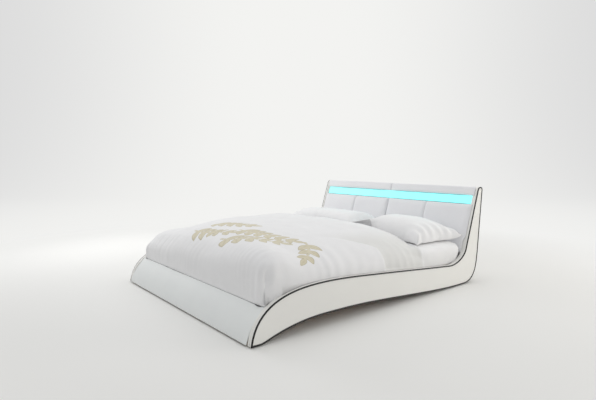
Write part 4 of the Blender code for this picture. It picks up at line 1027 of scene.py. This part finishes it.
def pillow(name, node_name, inner_side, low, high, open_end, slump):
    """A pillow between two corners, with its inner end on this side, perhaps an empty end, and its slump."""
    bpy.ops.object.select_all(action="DESELECT")
    bpy.ops.mesh.primitive_grid_add(x_subdivisions=84, y_subdivisions=48, size=1)
    made = bpy.context.object
    made.name = name
    made.scale = CASE_SIZE
    bpy.ops.object.transform_apply()
    thick = made.modifiers.new("two_panels", "SOLIDIFY")
    thick.thickness = CASE_THICKNESS
    bpy.ops.object.modifier_apply(modifier="two_panels")
    rows = points_of(made)
    rows = inflated(
        made, 6, 45, tension_stiffness=30, compression_stiffness=10, bending_stiffness=0.3
    ).astype(float)
    set_points(made, rows)
    rim = np.maximum(np.abs(rows[:, 0]) / rows[:, 0].max(), np.abs(rows[:, 1]) / rows[:, 1].max())
    eased = made.modifiers.new("even_filling", "SMOOTH")
    eased.factor = 0.5
    eased.iterations = 22
    bpy.ops.object.modifier_apply(modifier="even_filling")
    keep = np.clip((rim - 0.86) / 0.12, 0, 1)[:, None]
    rows = keep * rows + (1 - keep) * points_of(made)
    rows = fit_to(rows, (-1, -1, -1), (1, 1, 1))
    across, along, up = rows.T
    across = np.sign(across) * np.abs(across) ** np.where(across * inner_side > 0, 0.72, 1.0)
    inner = np.clip(across * inner_side, 0, 1)
    outer = np.clip(-across * inner_side, 0, 1)
    rear = ramp(along, -0.4, 0.9)
    seat = 0.036 + slump * 0.010 * ramp(outer, 0.5, 1) * rear
    height = high[2] - low[2]
    top = height * (1 - 0.30 * slump * ramp(outer, 0.25, 1.0))
    full = 1 - (1 - np.clip(up, 0, 1)) ** 1.35
    droop = 0.018 * (across**6 + along**6) * (1 - np.abs(up)) ** 2 * (1 - slump * outer * rear)
    creases = np.sin(along * 19 + 1.5 * np.sin(across * 6))
    puckers = creases * ramp(outer + 0.3 * inner, 0.52, 0.9)
    rise = seat + np.where(up > 0, (top - seat) * full, seat * np.tanh(2.4 * up)) - droop
    rise += 0.0095 * puckers * np.clip(up * 3, 0, 1)
    # The case is longer than its filling: its empty end lies flat, held up by the seam at the back.
    empty = ramp(inner, 0.20, 0.34) * open_end
    flap = height * (0.92 - 0.42 * np.clip((inner - 0.2) / 0.7, 0, 1)) + 0.004 * np.sin(along * 6 + 1)
    under = empty * (1 - ramp(along, -0.85, -0.45))
    rise = np.where(up > 0, rise + (flap - rise) * empty, rise + (flap - 0.010 - rise) * under)
    rows[:, 2] = low[2] + np.clip(rise, 0, height)
    bulge = 0.006 * creases * ramp(outer, 0.80, 0.97) * np.clip(1 - np.abs(up), 0, 1) * slump
    slant = 0.095 * slump * outer**2 * (1 - along) / 2
    rows[:, 0] = (low[0] + high[0]) / 2 + across * (high[0] - low[0]) / 2 + inner_side * (slant - bulge)
    rows[:, 1] = (low[1] + high[1]) / 2 + along * (high[1] - low[1]) / 2
    rows[:, 1] += 0.10 * open_end * np.clip((inner - 0.3) / 0.7, 0, 1) * (1 - along) / 2
    set_points(made, rows)
    clothe(made, percale)
    only(made)
    bpy.ops.object.shade_smooth()
    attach(made, node_name)
    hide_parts(node_name)


pillow(
    "pillow_right_in_case",
    "pillow_right",
    inner_side=-1,
    low=(-0.040, 0.485, PILLOW_SEAT),
    high=(0.962, 1.025, 0.594),
    open_end=1,
    slump=1,
)
pillow(
    "pillow_left_in_case",
    "pillow_left",
    inner_side=1,
    low=(-0.958, 0.482, PILLOW_SEAT),
    high=(0.060, 0.990, 0.583),
    open_end=0,
    slump=0.3,
)


# Studio: a pale seamless floor that sweeps up far behind the bed, under a broad soft light. Near the bed it
# is lit paper that keeps the shadow; further off it turns into its own near-white for what sees it, which
# grows darker to either side of the camera's line as painted shade.
FLOOR_SIZE = (40, 30, 1)
SWEEP_START = 12
SWEEP_HEIGHT = 14
SWEEP_RADIUS = 6
bpy.ops.object.select_all(action="DESELECT")
bpy.ops.mesh.primitive_plane_add(size=1)
floor = bpy.context.object
floor.name = "studio_floor"
floor.scale = FLOOR_SIZE
bpy.ops.object.transform_apply()
bpy.ops.object.mode_set(mode="EDIT")
pick(floor, lambda e: all(v.co.y > SWEEP_START for v in e.verts), "EDGE")
bpy.ops.mesh.extrude_region_move(TRANSFORM_OT_translate={"value": (0, 0, SWEEP_HEIGHT)})
pick(floor, lambda e: all(v.co.y > SWEEP_START and v.co.z < 0.1 for v in e.verts), "EDGE")
bpy.ops.mesh.bevel(offset=SWEEP_RADIUS, segments=16)
bpy.ops.object.mode_set(mode="OBJECT")
floor.rotation_euler = (0, 0, camera.rotation_euler.z)
only(floor)
bpy.ops.object.transform_apply()
bpy.ops.object.shade_smooth()

paper, tree, shader, place = new_material(
    "white_paper_sweep", Roughness=0.8, Base_Color=colour("ECECEA"), Specular_IOR_Level=0.2
)
reach = add_node(tree, "ShaderNodeVectorMath", {0: place}, operation="LENGTH")
far = add_node(
    tree,
    "ShaderNodeMapRange",
    {"Value": reach.outputs["Value"], "From Min": 2.2, "From Max": 4.6},
    interpolation_type="SMOOTHSTEP",
)
rays = add_node(tree, "ShaderNodeLightPath")
seen = add_node(
    tree,
    "ShaderNodeMath",
    {0: rays.outputs["Is Camera Ray"], 1: rays.outputs["Is Glossy Ray"]},
    operation="MAXIMUM",
)
seen_through = add_node(
    tree,
    "ShaderNodeMath",
    {0: seen.outputs[0], 1: rays.outputs["Is Transmission Ray"]},
    operation="MAXIMUM",
)
share = add_node(
    tree, "ShaderNodeMath", {0: seen_through.outputs[0], 1: far.outputs["Result"]}, operation="MULTIPLY"
)
sideways = add_node(
    tree,
    "ShaderNodeVectorMath",
    {0: place, 1: (math.cos(camera.rotation_euler.z), math.sin(camera.rotation_euler.z), 0)},
    operation="DOT_PRODUCT",
)
off_centre = add_node(tree, "ShaderNodeMath", {0: sideways.outputs["Value"]}, operation="ABSOLUTE")
# Painted shade: the far paper's own tone darkens sideways from the camera's line, from 1.5 m out to 14 m.
painted_side_falloff = add_node(
    tree,
    "ShaderNodeMapRange",
    {"Value": off_centre.outputs[0], "From Min": 1.5, "From Max": 14.0},
    interpolation_type="SMOOTHSTEP",
)
paper_tone = mixed(tree, painted_side_falloff.outputs["Result"], colour("F3F3F1"), colour("DCDCDC"))
lit = add_node(tree, "ShaderNodeEmission", {"Color": paper_tone, "Strength": 1.0})
blend = add_node(
    tree,
    "ShaderNodeMixShader",
    {0: share.outputs[0], 1: shader.outputs["BSDF"], 2: lit.outputs["Emission"]},
)
tree.links.new(blend.outputs["Shader"], tree.nodes["Material Output"].inputs["Surface"])
clothe(floor, paper)

world = bpy.data.worlds.new("soft_studio")
world.use_nodes = True
world.node_tree.nodes["Background"].inputs["Color"].default_value = colour("FFFFFF")
world.node_tree.nodes["Background"].inputs["Strength"].default_value = 0.63
bpy.context.scene.world = world
bpy.context.scene.view_settings.view_transform = "Standard"


def soft_light(name, place, target, size, watts):
    """A square area light that looks at a target."""
    bpy.ops.object.light_add(type="AREA", location=place)
    lamp = bpy.context.object
    lamp.name = name
    lamp.data.size = size
    lamp.data.energy = watts
    lamp.rotation_euler = (Vector(place) - Vector(target)).to_track_quat("Z", "Y").to_euler()


soft_light("overhead_softbox", (-0.5, 1.4, 5.0), (0, 0.2, 0), 6.0, 82)
soft_light("left_fill", (-3.8, -1.2, 2.2), (-0.5, 0.6, 0.4), 2.0, 42)
soft_light("right_fill", (4.6, 4.4, 1.7), (0.9, 0.9, 0.3), 3.0, 84)
bpy.context.object.data.color = colour("FFF9F0")[:3]
